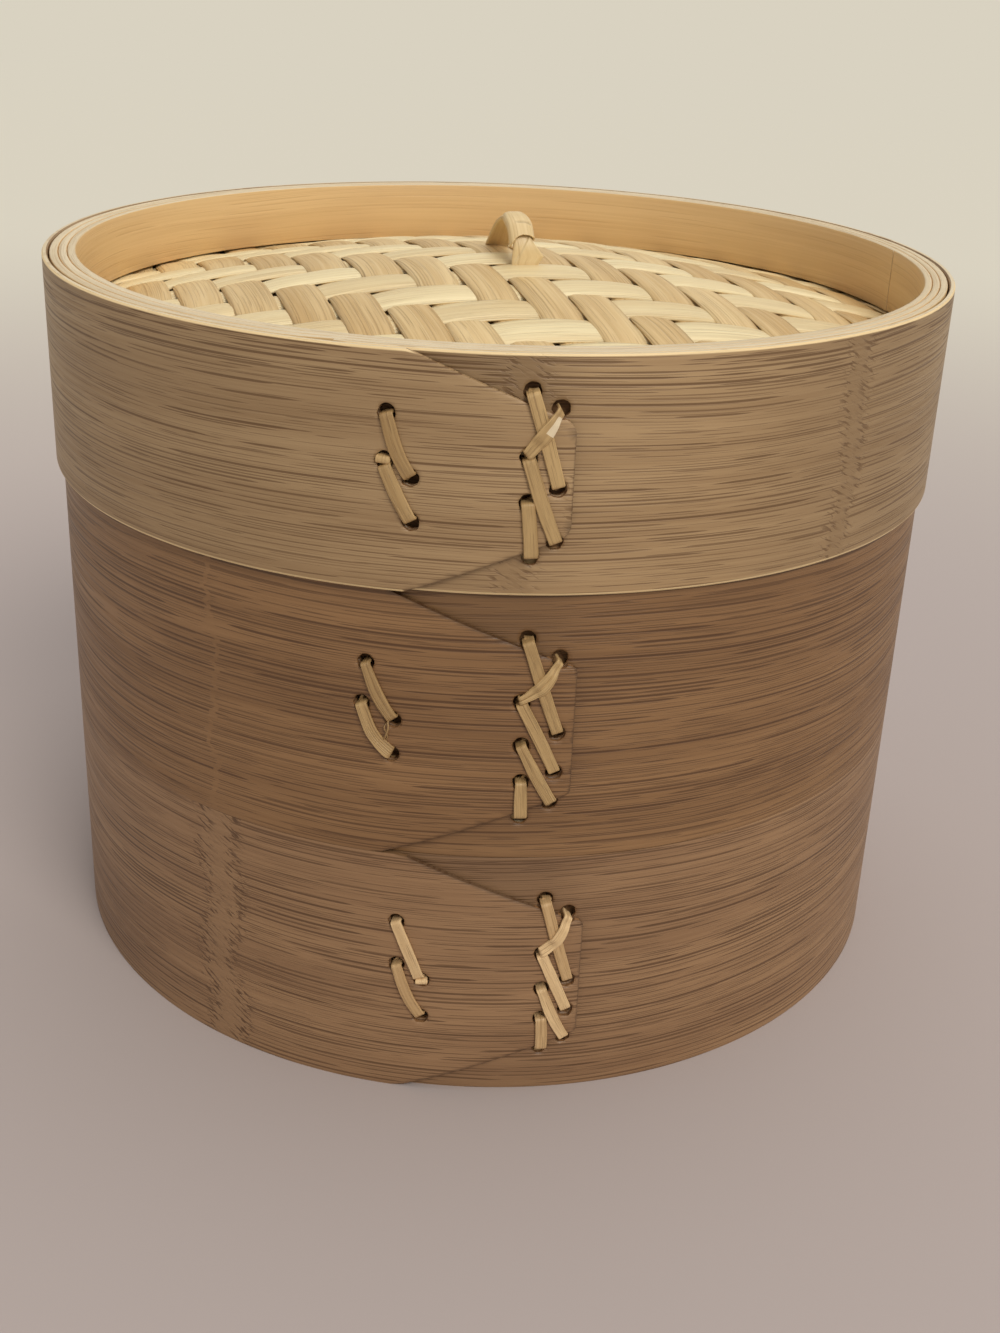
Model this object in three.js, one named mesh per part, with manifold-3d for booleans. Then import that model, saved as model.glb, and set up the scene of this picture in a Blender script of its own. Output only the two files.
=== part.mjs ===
// A two-tier bamboo steamer with its domed lid. Millimetres, +Z up.
// The origin is the centre of the lower tier's bottom edge, and -Y is the front, where the laced laps are.
import * as THREE from 'three';
import { mergeVertices } from 'three/addons/utils/BufferGeometryUtils.js';
import Module from 'manifold-3d';

const wasm = await Module();
wasm.setup();

// Bands. Each one is a single bamboo strip wound once round and lapped over its own start.
const LID_RADIUS = 102.9; // lid band, measured over its lap
const TIER_INSET = 1.5; // a tier's band is this much smaller in radius
const LID_HEIGHT = 45.4;
const TIER_HEIGHT = 56.7;
const STRIP = 1.2; // thickness of the band's strip
const LAP_GAP = 0.2; // between the two layers of a lap
const LAP_START = 30; // arc from the front, to the left, where a strip starts under its lap
const CLIMB_ARC = 190; // length over which the strip climbs onto its own start
const TAPER_SLOPE = 0.4; // how fast the tongue's two long edges close in
const TONGUE_CORNER = 2; // rounding of the tongue's two corners
const TIER_TAPER_HEIGHT = 15; // how far a tier's tongue has closed in at its end, above and below
const LID_TAPER_HEIGHT = 12.2;
const LOWER_TONGUE_OFFSET = 22; // arc from the front, to the right, to the tongue's end
const UPPER_TONGUE_OFFSET = 17.5;
const LID_TONGUE_OFFSET = 14.6;
const FIT = 0.3; // between pieces that touch

// Inner hoops and floor of a tier
const NEST = 7.5; // how far a tier's inner hoop stands up into the piece above
const TIER_HOOP = 3.2; // thickness of the inner hoop and of the floor ring
const FLOOR_RING_HEIGHT = 7.9;
const SLAT_WIDTH = 12;
const SLAT_THICKNESS = 3;
const SLAT_SPACING = 18;
const SLAT_BITE = 2.5; // how far a slat's end reaches onto the floor ring
const BATTEN_WIDTH = 9;
const BATTEN_THICKNESS = 3.5;
const BATTEN_OFFSET = 32; // each side of the middle

// Lid
const LID_HOOP = 5; // thickness of the rim hoop and of the seat hoop
const RECESS = 14.9; // from the rim down to the edge of the dome
const DOME_RISE = 13.5;
const DOME_POWER = 1.6; // 2 would be a parabola, 1 a cone
const DOME_THICKNESS = 1.3;
const LINING_THICKNESS = 0.8;
const DOME_BITE = 3.6; // how far the dome's edge reaches in between the hoops

// Handle, a folded strip that stands up through the dome and is bound over its top
const HANDLE_SPAN = 21.7;
const HANDLE_RISE = 8.5; // middle of the strip above the dome's crown
const HANDLE_TURN = THREE.MathUtils.degToRad(16);
const HANDLE_SHIFT = new THREE.Vector2(1.5, 0.9); // middle of the span, from the dome's middle
const HANDLE_WIDTH = 4.2;
const HANDLE_FLARE = 2.4; // how much further the front foot reaches to the right
const HANDLE_FLARE_SHARE = 0.45; // share of the rise over which it does
const HANDLE_THICKNESS = 1.2;
const HANDLE_TAIL = 5; // folded under the lining
const WRAP_WALL = 0.5;
const WRAP_START = 0.15; // where the binding starts and ends, as shares of the arch from the front
const WRAP_END = 0.64;

// Lacing, a flat split of bamboo
const LACE_WIDTH = 2.4;
const LACE_NECK = 2.2; // width where it goes through a hole
const LACE_THICKNESS = 0.7;
const HOLE_CLEARANCE = 0.4;
const LACE_SEAT = 0.2; // between the lacing and the wall that it lies on
const LACE_BRIDGE = 0.63; // how far the first stitch rises to pass over the second one

// Fineness of the round pieces
const SEGMENTS = 72;
const DOME_SEGMENTS = 48;
const DOME_RINGS = 4;
const ARCH_POINTS = 14;
const HOLE_SIDES = 6;
const SLAT_END_FACETS = 3;
const STEP = (2 * Math.PI) / SEGMENTS;

// A hole is given as its arc back from the tongue's end and its share of the band's height.
const LOWER = {
  end: LOWER_TONGUE_OFFSET,
  rise: TIER_TAPER_HEIGHT,
  holes: {
    L1: [8, 0.83],
    L2: [8.3, 0.614],
    L3: [8, 0.462],
    L4: [7.8, 0.332],
    L5: [7.5, 0.185],
    R1: [3, 0.77],
    R2: [2.7, 0.494],
    R3: [2.7, 0.362],
    R4: [2.7, 0.228],
    S1: [38.5, 0.725],
    S2: [33, 0.485],
    S3: [38.3, 0.543],
    S4: [33.1, 0.326],
  },
};
const UPPER = {
  end: UPPER_TONGUE_OFFSET,
  rise: TIER_TAPER_HEIGHT,
  holes: {
    L1: [9.7, 0.84],
    L2: [10.5, 0.617],
    L3: [10.2, 0.455],
    L4: [9.9, 0.314],
    L5: [9.7, 0.165],
    R1: [3.3, 0.77],
    R2: [3.3, 0.499],
    R3: [3.5, 0.349],
    R4: [3.8, 0.222],
    S1: [40.7, 0.727],
    S2: [35.2, 0.524],
    S3: [41.5, 0.575],
    S4: [35.5, 0.393],
  },
};
const LID = {
  end: LID_TONGUE_OFFSET,
  rise: LID_TAPER_HEIGHT,
  holes: {
    L1: [8.1, 0.853],
    L2: [8.4, 0.593],
    L3: [8.2, 0.407],
    L4: [7.2, 0.17],
    R1: [2.8, 0.785],
    R2: [2.8, 0.467],
    R3: [2.8, 0.236],
    S1: [34.1, 0.744],
    S2: [29.6, 0.485],
    S3: [34.4, 0.551],
    S4: [29.4, 0.302],
  },
};

// The holes that each lace visits in turn. It runs outside to the second one, inside to the third, and so on.
const TIER_ROUTE = ['L2', 'R1', 'L1', 'R2', 'L2', 'R3', 'L3', 'R4', 'L4', 'L5'];
const LID_ROUTE = ['L2', 'R1', 'L1', 'R2', 'L2', 'R3', 'L3', 'L4'];
const SIDE_ROUTE = ['S1', 'S2', 'S3', 'S4'];

const bamboo = {
  band: () => new THREE.MeshStandardMaterial({ color: 0xa9814f, roughness: 0.55, metalness: 0 }),
  hoop: () => new THREE.MeshStandardMaterial({ color: 0xd9ab6c, roughness: 0.5, metalness: 0 }),
  slat: () => new THREE.MeshStandardMaterial({ color: 0xcfa970, roughness: 0.6, metalness: 0 }),
  weave: () => new THREE.MeshStandardMaterial({ color: 0xd9bc8c, roughness: 0.6, metalness: 0 }),
  lace: () => new THREE.MeshStandardMaterial({ color: 0xd8c193, roughness: 0.45, metalness: 0 }),
};

// A point on a round wall, with the angle counted from the front towards +X.
function onWall(radius, angle, z) {
  return new THREE.Vector3(radius * Math.sin(angle), -radius * Math.cos(angle), z);
}

function smooth(t) {
  return THREE.MathUtils.smoothstep(t, 0, 1);
}

// A closed body through a list of outlines with the same number of points, with a flat cap at each end.
function loft(outlines) {
  const count = outlines[0].length;
  const positions = outlines.flat().flatMap((p) => [p.x, p.y, p.z]);
  const faces = [];
  for (let i = 0; i + 1 < outlines.length; i++) {
    for (let j = 0; j < count; j++) {
      const a = i * count + j;
      const b = i * count + ((j + 1) % count);
      faces.push(a, b, b + count, a, b + count, a + count);
    }
  }
  const last = (outlines.length - 1) * count;
  for (let j = 1; j + 1 < count; j++) {
    faces.push(0, j + 1, j, last, last + j, last + j + 1);
  }
  const geometry = new THREE.BufferGeometry();
  geometry.setAttribute('position', new THREE.Float32BufferAttribute(positions, 3));
  geometry.setIndex(faces);
  return volume(geometry) < 0 ? turnedOut(geometry) : geometry;
}

function volume(geometry) {
  const position = geometry.getAttribute('position');
  const corner = (i) => new THREE.Vector3().fromBufferAttribute(position, geometry.index.getX(i));
  let sum = 0;
  for (let i = 0; i < geometry.index.count; i += 3) {
    sum += corner(i).dot(corner(i + 1).cross(corner(i + 2))) / 6;
  }
  return sum;
}

function turnedOut(geometry) {
  const index = Array.from(geometry.index.array);
  for (let i = 0; i < index.length; i += 3) {
    [index[i + 1], index[i + 2]] = [index[i + 2], index[i + 1]];
  }
  geometry.setIndex(index);
  return geometry;
}

function toSolid(geometry) {
  const bare = geometry.clone();
  bare.deleteAttribute('normal');
  bare.deleteAttribute('uv');
  const merged = mergeVertices(bare);
  const vertProperties = new Float32Array(merged.getAttribute('position').array);
  const triVerts = new Uint32Array(merged.index.array);
  return new wasm.Manifold(new wasm.Mesh({ numProp: 3, vertProperties, triVerts }));
}

function toGeometry(solid) {
  const mesh = solid.getMesh();
  const geometry = new THREE.BufferGeometry();
  geometry.setAttribute('position', new THREE.Float32BufferAttribute(mesh.vertProperties, 3));
  geometry.setIndex(Array.from(mesh.triVerts));
  return geometry;
}

function cut(geometry, tools) {
  return toGeometry(tools.reduce((solid, tool) => solid.subtract(toSolid(tool)), toSolid(geometry)));
}

function join(geometries) {
  return toGeometry(geometries.map(toSolid).reduce((sum, next) => sum.add(next)));
}

// A straight bar of rectangular section between two points, its thickness along the given outward direction.
function bar(from, to, outward, width, thickness) {
  const along = to.clone().sub(from).normalize();
  const side = new THREE.Vector3().crossVectors(outward, along).normalize();
  const up = new THREE.Vector3().crossVectors(along, side);
  const outline = (end) =>
    [[1, 1], [-1, 1], [-1, -1], [1, -1]].map(([s, t]) =>
      end.clone().addScaledVector(side, (s * width) / 2).addScaledVector(up, (t * thickness) / 2));
  return loft([outline(from), outline(to)]);
}

// A turned ring with square edges.
function ring(inner, outer, low, high) {
  const profile = [[inner, low], [outer, low], [outer, high], [inner, high], [inner, low]];
  return turned(profile, SEGMENTS);
}

function turned(profile, segments) {
  const points = profile.map(([radius, z]) => new THREE.Vector2(radius, z));
  return new THREE.LatheGeometry(points, segments).rotateX(Math.PI / 2);
}

// Radii that a band's strip gives to everything inside it.
function bandRadii(radius) {
  const under = radius - STRIP - LAP_GAP; // outside of the strip where it is not lapped
  const inside = under - STRIP;
  return { under, inside, hoop: inside - FIT };
}

// The wound strip. Its hidden start lies under the lap, and its outer end is cut to a tapered tongue.
function bandStrip(radius, height, lap) {
  const { under, inside } = bandRadii(radius);
  const start = -LAP_START / radius;
  const finish = 2 * Math.PI + lap.end / radius;
  const climbEnd = start + 2 * Math.PI - STEP;
  const climbStart = climbEnd - CLIMB_ARC / radius;
  const taperStart = finish - lap.rise / TAPER_SLOPE / radius;
  const stations = [start, taperStart, finish];
  for (let angle = Math.ceil(start / STEP) * STEP; angle < finish; angle += STEP) {
    stations.push(angle);
  }
  const cornerStart = finish - TONGUE_CORNER / radius;
  for (const share of [0, 0.4, 0.75, 0.93]) {
    stations.push(cornerStart + (share * TONGUE_CORNER) / radius);
  }
  stations.sort((a, b) => a - b);
  const apart = stations.filter((angle, i) => i === 0 || angle - stations[i - 1] > 1e-4);
  const outlines = apart.map((angle) => {
    const lift = (STRIP + LAP_GAP) * smooth((angle - climbStart) / (climbEnd - climbStart));
    const left = (finish - angle) * radius;
    const round = Math.max(0, TONGUE_CORNER - left);
    const corner = TONGUE_CORNER - Math.sqrt(TONGUE_CORNER ** 2 - round ** 2);
    const inset = Math.max(0, lap.rise - left * TAPER_SLOPE) + corner;
    return [
      onWall(inside + lift, angle, inset),
      onWall(under + lift, angle, inset),
      onWall(under + lift, angle, height - inset),
      onWall(inside + lift, angle, height - inset),
    ];
  });
  return loft(outlines);
}

// Where a named hole is on a band: its angle, and its height above the band's lower edge.
function holePlace(radius, height, lap, name) {
  const [back, share] = lap.holes[name];
  return { angle: (lap.end - back) / radius, z: share * height };
}

function holeTools(radius, height, lap) {
  const holeRadius = Math.hypot(LACE_NECK, LACE_THICKNESS) / 2 + HOLE_CLEARANCE;
  const { inside } = bandRadii(radius);
  return Object.keys(lap.holes).map((name) => {
    const { angle, z } = holePlace(radius, height, lap, name);
    const depth = radius - inside + 4 * STRIP;
    const drill = new THREE.CylinderGeometry(holeRadius, holeRadius, depth, HOLE_SIDES);
    drill.rotateZ(angle);
    const middle = onWall((radius + inside) / 2, angle, z);
    return drill.translate(middle.x, middle.y, middle.z);
  });
}

// The share of a lace's first stitch at which it crosses its second one, or null where they stay apart.
function crossingShare(radius, places) {
  const [a, b, c, d] = places.map(({ angle, z }) => new THREE.Vector2(angle * radius, z));
  const first = b.clone().sub(a);
  const second = d.clone().sub(c);
  const offset = c.clone().sub(a);
  const spread = first.cross(second);
  const shares = [offset.cross(second) / spread, offset.cross(first) / spread];
  return shares.every((share) => share > 0 && share < 1) ? shares[0] : null;
}

// One lace, from its first hole to its last, in and out through the wall. Where its first two stitches cross,
// the first one passes over the second.
function lacing(radius, height, lap, route) {
  const { inside } = bandRadii(radius);
  const outer = radius + LACE_SEAT + LACE_THICKNESS / 2;
  const inner = inside - LACE_SEAT - LACE_THICKNESS / 2;
  const bars = [];
  const places = route.map((name) => holePlace(radius, height, lap, name));
  places.forEach(({ angle, z }, i) => {
    const isTail = i === 0 || i === places.length - 1;
    const next = places[i + 1] ?? places[i - 1];
    const run = onWall(radius, next.angle, next.z).sub(onWall(radius, angle, z));
    const from = onWall(isTail ? inside : inner, angle, z);
    bars.push(bar(from, onWall(outer, angle, z), run, LACE_NECK, LACE_THICKNESS));
    if (i + 1 < places.length) {
      const level = i % 2 === 0 ? outer : inner;
      const outward = onWall(1, (angle + next.angle) / 2, 0);
      const stops = [onWall(level, angle, z), onWall(level, next.angle, next.z)];
      const over = i === 0 ? crossingShare(radius, places) : null;
      if (over !== null) {
        const top = new THREE.Vector2(angle, z).lerp(new THREE.Vector2(next.angle, next.z), over);
        stops.splice(1, 0, onWall(outer + LACE_BRIDGE, top.x, top.y));
      }
      for (let k = 0; k + 1 < stops.length; k++) {
        const past = stops[k + 1].clone().sub(stops[k]).setLength(LACE_THICKNESS);
        const [start, end] = [stops[k].clone().sub(past), stops[k + 1].clone().add(past)];
        bars.push(bar(start, end, outward, LACE_WIDTH, LACE_THICKNESS));
      }
    }
  });
  return join(bars);
}

// The shallow pockets in a hoop's outer face that leave room for the lacing's inside runs.
function lacePockets(radius, height, lap, routes) {
  const { inside } = bandRadii(radius);
  const floor = inside - LACE_SEAT - LACE_THICKNESS - FIT;
  const margin = LACE_WIDTH / 2 + HOLE_CLEARANCE + FIT;
  return routes.map((route) => {
    const places = route.slice(1, -1).map((name) => holePlace(radius, height, lap, name));
    const angles = places.map((place) => place.angle);
    const heights = places.map((place) => place.z);
    const [left, right] = [Math.min(...angles), Math.max(...angles)];
    const [low, high] = [Math.min(...heights) - margin, Math.max(...heights) + margin];
    const wide = (right - left) * radius + 2 * margin;
    const pocket = new THREE.BoxGeometry(wide, 2 * STRIP + radius - floor, high - low);
    pocket.translate(0, -floor - (2 * STRIP + radius - floor) / 2, (low + high) / 2);
    return pocket.rotateZ((left + right) / 2);
  });
}

// A flat bar across a round floor, its two ends cut to the given reach from the centre.
function crossPiece(offset, width, reach, thickness) {
  const half = (edge) => Math.acos(edge / reach);
  const near = offset - width / 2;
  const far = offset + width / 2;
  const outline = new THREE.Shape();
  outline.absarc(0, 0, reach, Math.PI / 2 - half(near), Math.PI / 2 - half(far), false);
  outline.absarc(0, 0, reach, Math.PI / 2 + half(far), Math.PI / 2 + half(near), false);
  const options = { depth: thickness, bevelEnabled: false, curveSegments: SLAT_END_FACETS };
  return new THREE.ExtrudeGeometry(outline, options);
}

function piece(name, geometry, material) {
  const mesh = new THREE.Mesh(geometry, material);
  mesh.name = name;
  return mesh;
}

// One steaming tier, standing on z = 0 in its own group.
function tier(name, lap) {
  const group = new THREE.Group();
  const radius = LID_RADIUS - TIER_INSET;
  const { hoop } = bandRadii(radius);
  const bore = hoop - TIER_HOOP;
  const ringLow = NEST + FIT;
  const ringHigh = ringLow + FLOOR_RING_HEIGHT;
  const slatLow = ringHigh + FIT;
  const hoopLow = slatLow + SLAT_THICKNESS + FIT;
  const reach = bore + SLAT_BITE;
  const pockets = lacePockets(radius, TIER_HEIGHT, lap, [TIER_ROUTE, SIDE_ROUTE]);
  const strip = cut(bandStrip(radius, TIER_HEIGHT, lap), holeTools(radius, TIER_HEIGHT, lap));
  const innerHoop = cut(ring(bore, hoop, hoopLow, TIER_HEIGHT + NEST), pockets);
  group.add(piece(`${name}_band`, strip, bamboo.band()));
  group.add(piece(`${name}_inner_hoop`, innerHoop, bamboo.hoop()));

  const battenLow = slatLow - FIT - BATTEN_THICKNESS;
  const slotWidth = BATTEN_WIDTH + 2 * FIT;
  const slots = [-BATTEN_OFFSET, BATTEN_OFFSET].map((x) =>
    new THREE.BoxGeometry(slotWidth, 3 * hoop, 2 * BATTEN_THICKNESS)
      .translate(x, 0, battenLow - FIT + BATTEN_THICKNESS));
  const floorRing = cut(ring(bore, hoop, ringLow, ringHigh), [...pockets, ...slots]);
  group.add(piece(`${name}_floor_ring`, floorRing, bamboo.hoop()));

  const count = 2 * Math.floor((reach - SLAT_WIDTH / 2 - FIT) / SLAT_SPACING + 0.5);
  for (let i = 0; i < count; i++) {
    const offset = (i - (count - 1) / 2) * SLAT_SPACING;
    const slat = crossPiece(offset, SLAT_WIDTH, reach, SLAT_THICKNESS);
    slat.translate(0, 0, slatLow);
    group.add(piece(`${name}_slat_${String(i + 1).padStart(2, '0')}`, slat, bamboo.slat()));
  }
  for (const [side, offset] of [['left', BATTEN_OFFSET], ['right', -BATTEN_OFFSET]]) {
    const batten = crossPiece(offset, BATTEN_WIDTH, reach, BATTEN_THICKNESS);
    batten.rotateZ(Math.PI / 2).translate(0, 0, battenLow);
    group.add(piece(`${name}_batten_${side}`, batten, bamboo.slat()));
  }

  const mainLace = lacing(radius, TIER_HEIGHT, lap, TIER_ROUTE);
  const sideLace = lacing(radius, TIER_HEIGHT, lap, SIDE_ROUTE);
  group.add(piece(`${name}_main_lacing`, mainLace, bamboo.lace()));
  group.add(piece(`${name}_side_lacing`, sideLace, bamboo.lace()));
  return group;
}

// Height of the dome's top face above the lid's lower edge.
function domeTop(radius, bore) {
  return LID_HEIGHT - RECESS + DOME_RISE * (1 - Math.min(1, radius / bore) ** DOME_POWER);
}

// A shell that follows the dome, with a flat edge that is held between the rim hoop and the seat hoop.
function domeShell(bore, drop, thickness) {
  const radii = [bore + DOME_BITE];
  for (let i = DOME_RINGS; i >= 0; i--) {
    radii.push((bore * i) / DOME_RINGS);
  }
  const top = radii.map((r) => [r, domeTop(r, bore) - drop]);
  const under = radii.map((r) => [r, domeTop(r, bore) - drop - thickness]).reverse();
  return turned([...under, ...top], DOME_SEGMENTS);
}

// How far the faceted dome has fallen below its crown at a radius inside its first ring.
function domeFall(radius, bore) {
  const firstRing = bore / DOME_RINGS;
  return ((domeTop(0, bore) - domeTop(firstRing, bore)) * radius) / firstRing;
}

// The handle's arch in its own upright plane, from foot to foot: x along the arch, y up from the crown.
// Its front leg stands up steeply and its back leg leans.
function archCurve(deep) {
  const half = HANDLE_SPAN / 2;
  const points = [
    [-half + HANDLE_TAIL, deep],
    [-half, deep],
    [-half, 0],
    [-half * 0.97, HANDLE_RISE * 0.45],
    [-half * 0.74, HANDLE_RISE * 0.86],
    [-half * 0.28, HANDLE_RISE],
    [half * 0.16, HANDLE_RISE * 0.86],
    [half * 0.56, HANDLE_RISE * 0.52],
    [half, 0],
    [half, deep],
    [half - HANDLE_TAIL, deep],
  ];
  return points.map(([x, y]) => new THREE.Vector2(x, y));
}

function handle(bore) {
  const crown = domeTop(0, bore);
  const farCorner = HANDLE_SHIFT.length() + Math.hypot(HANDLE_SPAN / 2, HANDLE_WIDTH / 2 + HANDLE_FLARE);
  const drop = domeFall(farCorner, bore) + DOME_THICKNESS + FIT + LINING_THICKNESS;
  const deep = -(drop + FIT + HANDLE_THICKNESS / 2);
  const path = archCurve(deep);
  const arch = new THREE.SplineCurve(path.slice(2, -2));
  const archPoints = arch.getPoints(ARCH_POINTS);
  const line = [...path.slice(0, 2), ...archPoints, ...path.slice(-2)];

  // A rectangular section at each point of the line, square to it and mitred at the folds.
  const sections = (points, right, spare, thickness) =>
    points.map((point, i) => {
      const before = points[Math.max(0, i - 1)];
      const after = points[Math.min(points.length - 1, i + 1)];
      const a = point.clone().sub(before).normalize();
      const b = after.clone().sub(point).normalize();
      const tangent = a.clone().add(b).normalize();
      const miter = 1 / Math.max(0.5, tangent.dot(i === 0 ? b : a));
      const normal = new THREE.Vector2(-tangent.y, tangent.x).multiplyScalar((miter * thickness) / 2);
      const sides = [right(point) + spare, -HANDLE_WIDTH / 2 - spare];
      return [[0, 1], [1, 1], [1, -1], [0, -1]].map(([side, t]) =>
        new THREE.Vector3(sides[side], point.x + t * normal.x, crown + point.y + t * normal.y));
    });
  const flare = (point) => {
    const low = THREE.MathUtils.clamp(1 - point.y / (HANDLE_RISE * HANDLE_FLARE_SHARE), 0, 1);
    return HANDLE_WIDTH / 2 + (point.x < 0 ? HANDLE_FLARE * low : 0);
  };
  const loop = loft(sections(line, flare, 0, HANDLE_THICKNESS));

  const [first, last] = [WRAP_START, WRAP_END].map((share) => Math.round(share * ARCH_POINTS));
  const covered = archPoints.slice(first, last + 1);
  const boreDepth = HANDLE_THICKNESS + 2 * FIT;
  const sleeve = loft(sections(covered, flare, FIT + WRAP_WALL, boreDepth + 2 * WRAP_WALL));
  const past = (end, next) => end.clone().addScaledVector(end.clone().sub(next), 0.5);
  const run = [past(covered[0], covered[1]), ...covered, past(covered.at(-1), covered.at(-2))];
  const hollow = loft(sections(run, flare, FIT, boreDepth));
  const slots = [-1, 1].map((side) => {
    const spread = side < 0 ? HANDLE_FLARE : 0;
    return new THREE.BoxGeometry(HANDLE_WIDTH + spread + 2 * FIT, HANDLE_THICKNESS + 2 * FIT, 4 * drop)
      .translate(spread / 2, (side * HANDLE_SPAN) / 2, crown);
  });
  return { loop, wrap: cut(sleeve, [hollow]), slots };
}

function lid() {
  const group = new THREE.Group();
  const { hoop } = bandRadii(LID_RADIUS);
  const bore = hoop - LID_HOOP;
  const edgeTop = domeTop(bore, bore);
  const edgeBottom = edgeTop - DOME_THICKNESS - FIT - LINING_THICKNESS;
  const pockets = lacePockets(LID_RADIUS, LID_HEIGHT, LID, [LID_ROUTE, SIDE_ROUTE]);
  const strip = cut(bandStrip(LID_RADIUS, LID_HEIGHT, LID), holeTools(LID_RADIUS, LID_HEIGHT, LID));
  const rimHoop = cut(ring(bore, hoop, edgeTop + FIT, LID_HEIGHT), pockets);
  const seatHoop = cut(ring(bore, hoop, NEST + FIT, edgeBottom - FIT), pockets);
  group.add(piece('lid_band', strip, bamboo.band()));
  group.add(piece('lid_rim_hoop', rimHoop, bamboo.hoop()));
  group.add(piece('lid_seat_hoop', seatHoop, bamboo.hoop()));

  const { loop, wrap, slots } = handle(bore);
  const turnedSlots = slots.map((slot) =>
    slot.rotateZ(HANDLE_TURN).translate(HANDLE_SHIFT.x, HANDLE_SHIFT.y, 0));
  const dome = cut(domeShell(bore, 0, DOME_THICKNESS), turnedSlots);
  const lining = cut(domeShell(bore, DOME_THICKNESS + FIT, LINING_THICKNESS), turnedSlots);
  group.add(piece('lid_dome', dome, bamboo.weave()));
  group.add(piece('lid_lining', lining, bamboo.weave()));
  const handleGroup = new THREE.Group();
  handleGroup.add(piece('lid_handle_loop', loop, bamboo.lace()));
  handleGroup.add(piece('lid_handle_wrap', wrap, bamboo.lace()));
  handleGroup.rotation.z = HANDLE_TURN;
  handleGroup.position.set(HANDLE_SHIFT.x, HANDLE_SHIFT.y, 0);
  group.add(handleGroup);

  group.add(piece('lid_main_lacing', lacing(LID_RADIUS, LID_HEIGHT, LID, LID_ROUTE), bamboo.lace()));
  group.add(piece('lid_side_lacing', lacing(LID_RADIUS, LID_HEIGHT, LID, SIDE_ROUTE), bamboo.lace()));
  return group;
}

const steamer = new THREE.Group();
const lowerTier = tier('lower', LOWER);
const upperTier = tier('upper', UPPER);
const lidGroup = lid();
upperTier.position.z = TIER_HEIGHT + FIT;
lidGroup.position.z = 2 * (TIER_HEIGHT + FIT);
steamer.add(lowerTier, upperTier, lidGroup);

export default steamer;
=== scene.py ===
# %% [markdown]
# # A bamboo steamer with two tiers and a woven lid
#
# Two round tiers stand on each other and a lid lies on top. Every wall is one wide strip of bamboo that is
# wound once round, lapped over its own start and laced there. The lid's middle is woven from thin strips.
# This file dresses the exact solids that it loads: each cell says what the next piece is on the real object,
# how it could be made, and why this way was chosen.

# %% Load the frame
import math
import random
from types import SimpleNamespace

import bpy
import numpy as np
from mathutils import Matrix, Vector, geometry


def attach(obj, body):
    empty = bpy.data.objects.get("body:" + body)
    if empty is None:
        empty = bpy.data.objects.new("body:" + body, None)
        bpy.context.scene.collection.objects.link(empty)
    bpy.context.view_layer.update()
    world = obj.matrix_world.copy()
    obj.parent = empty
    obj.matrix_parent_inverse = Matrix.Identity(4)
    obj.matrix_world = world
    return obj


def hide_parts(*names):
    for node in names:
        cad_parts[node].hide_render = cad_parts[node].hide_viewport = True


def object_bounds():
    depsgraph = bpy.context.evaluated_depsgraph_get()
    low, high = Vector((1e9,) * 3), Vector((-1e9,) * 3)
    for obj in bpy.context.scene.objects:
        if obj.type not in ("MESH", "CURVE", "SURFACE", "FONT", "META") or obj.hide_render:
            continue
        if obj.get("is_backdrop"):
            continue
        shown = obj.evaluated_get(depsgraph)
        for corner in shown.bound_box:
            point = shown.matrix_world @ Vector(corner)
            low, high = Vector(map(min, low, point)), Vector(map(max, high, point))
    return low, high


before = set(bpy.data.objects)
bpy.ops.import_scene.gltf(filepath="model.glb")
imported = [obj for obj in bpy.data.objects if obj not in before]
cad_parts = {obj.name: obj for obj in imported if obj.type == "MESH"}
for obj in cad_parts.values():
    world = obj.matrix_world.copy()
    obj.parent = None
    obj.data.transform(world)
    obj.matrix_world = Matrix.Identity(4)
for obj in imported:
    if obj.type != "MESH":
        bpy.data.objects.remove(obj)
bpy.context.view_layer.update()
MM = 0.001

# %% [markdown]
# ## The camera
#
# The photograph was taken from a little above the lid, close by. A camera can be placed by eye, but here its
# place and its three turns were worked out from the rims and seams of the steamer, so they are written down
# as numbers. The rows of the camera's matrix are its right, its up and its back.

# %% Camera at the photograph's place
CAMERA_PLACE = Vector((0, -0.38511, 0.22773))
CAMERA_TURN, CAMERA_PITCH, CAMERA_ROLL = -0.0092, -0.4242, 0.0416
CAMERA_LENS = 44.6


def add_object(name, data):
    """Puts a mesh, a light or a camera into the scene."""
    made = bpy.data.objects.new(name, data)
    bpy.context.scene.collection.objects.link(made)
    return made


def camera_axes(turn, pitch, roll):
    forward = Vector((-math.sin(turn) * math.cos(pitch), math.cos(turn) * math.cos(pitch), math.sin(pitch)))
    level = Vector((math.cos(turn), math.sin(turn), 0))
    upright = level.cross(forward)
    right = math.cos(roll) * level + math.sin(roll) * upright
    up = -math.sin(roll) * level + math.cos(roll) * upright
    return right, up, -forward


camera = add_object("camera", bpy.data.cameras.new("camera"))
camera.data.lens = CAMERA_LENS
for column, axis in enumerate([*camera_axes(CAMERA_TURN, CAMERA_PITCH, CAMERA_ROLL), CAMERA_PLACE]):
    for row in range(3):
        camera.matrix_world[row][column] = axis[row]
bpy.context.scene.camera = camera
print("camera lens", CAMERA_LENS, "mm, height", round(CAMERA_PLACE.z, 3), "m")

# %% [markdown]
# ## Small helpers for node trees
#
# Materials and Geometry Nodes are both trees of nodes. Adding a node takes several lines in plain Blender
# code, so a small class does it in one: it makes the node, sets its options and wires or fills its inputs.
# What a node gives can be added, subtracted, multiplied and divided like a number, which adds the math nodes
# that do it. So a formula in a tree reads like a formula.

# %% Node helpers


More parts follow.
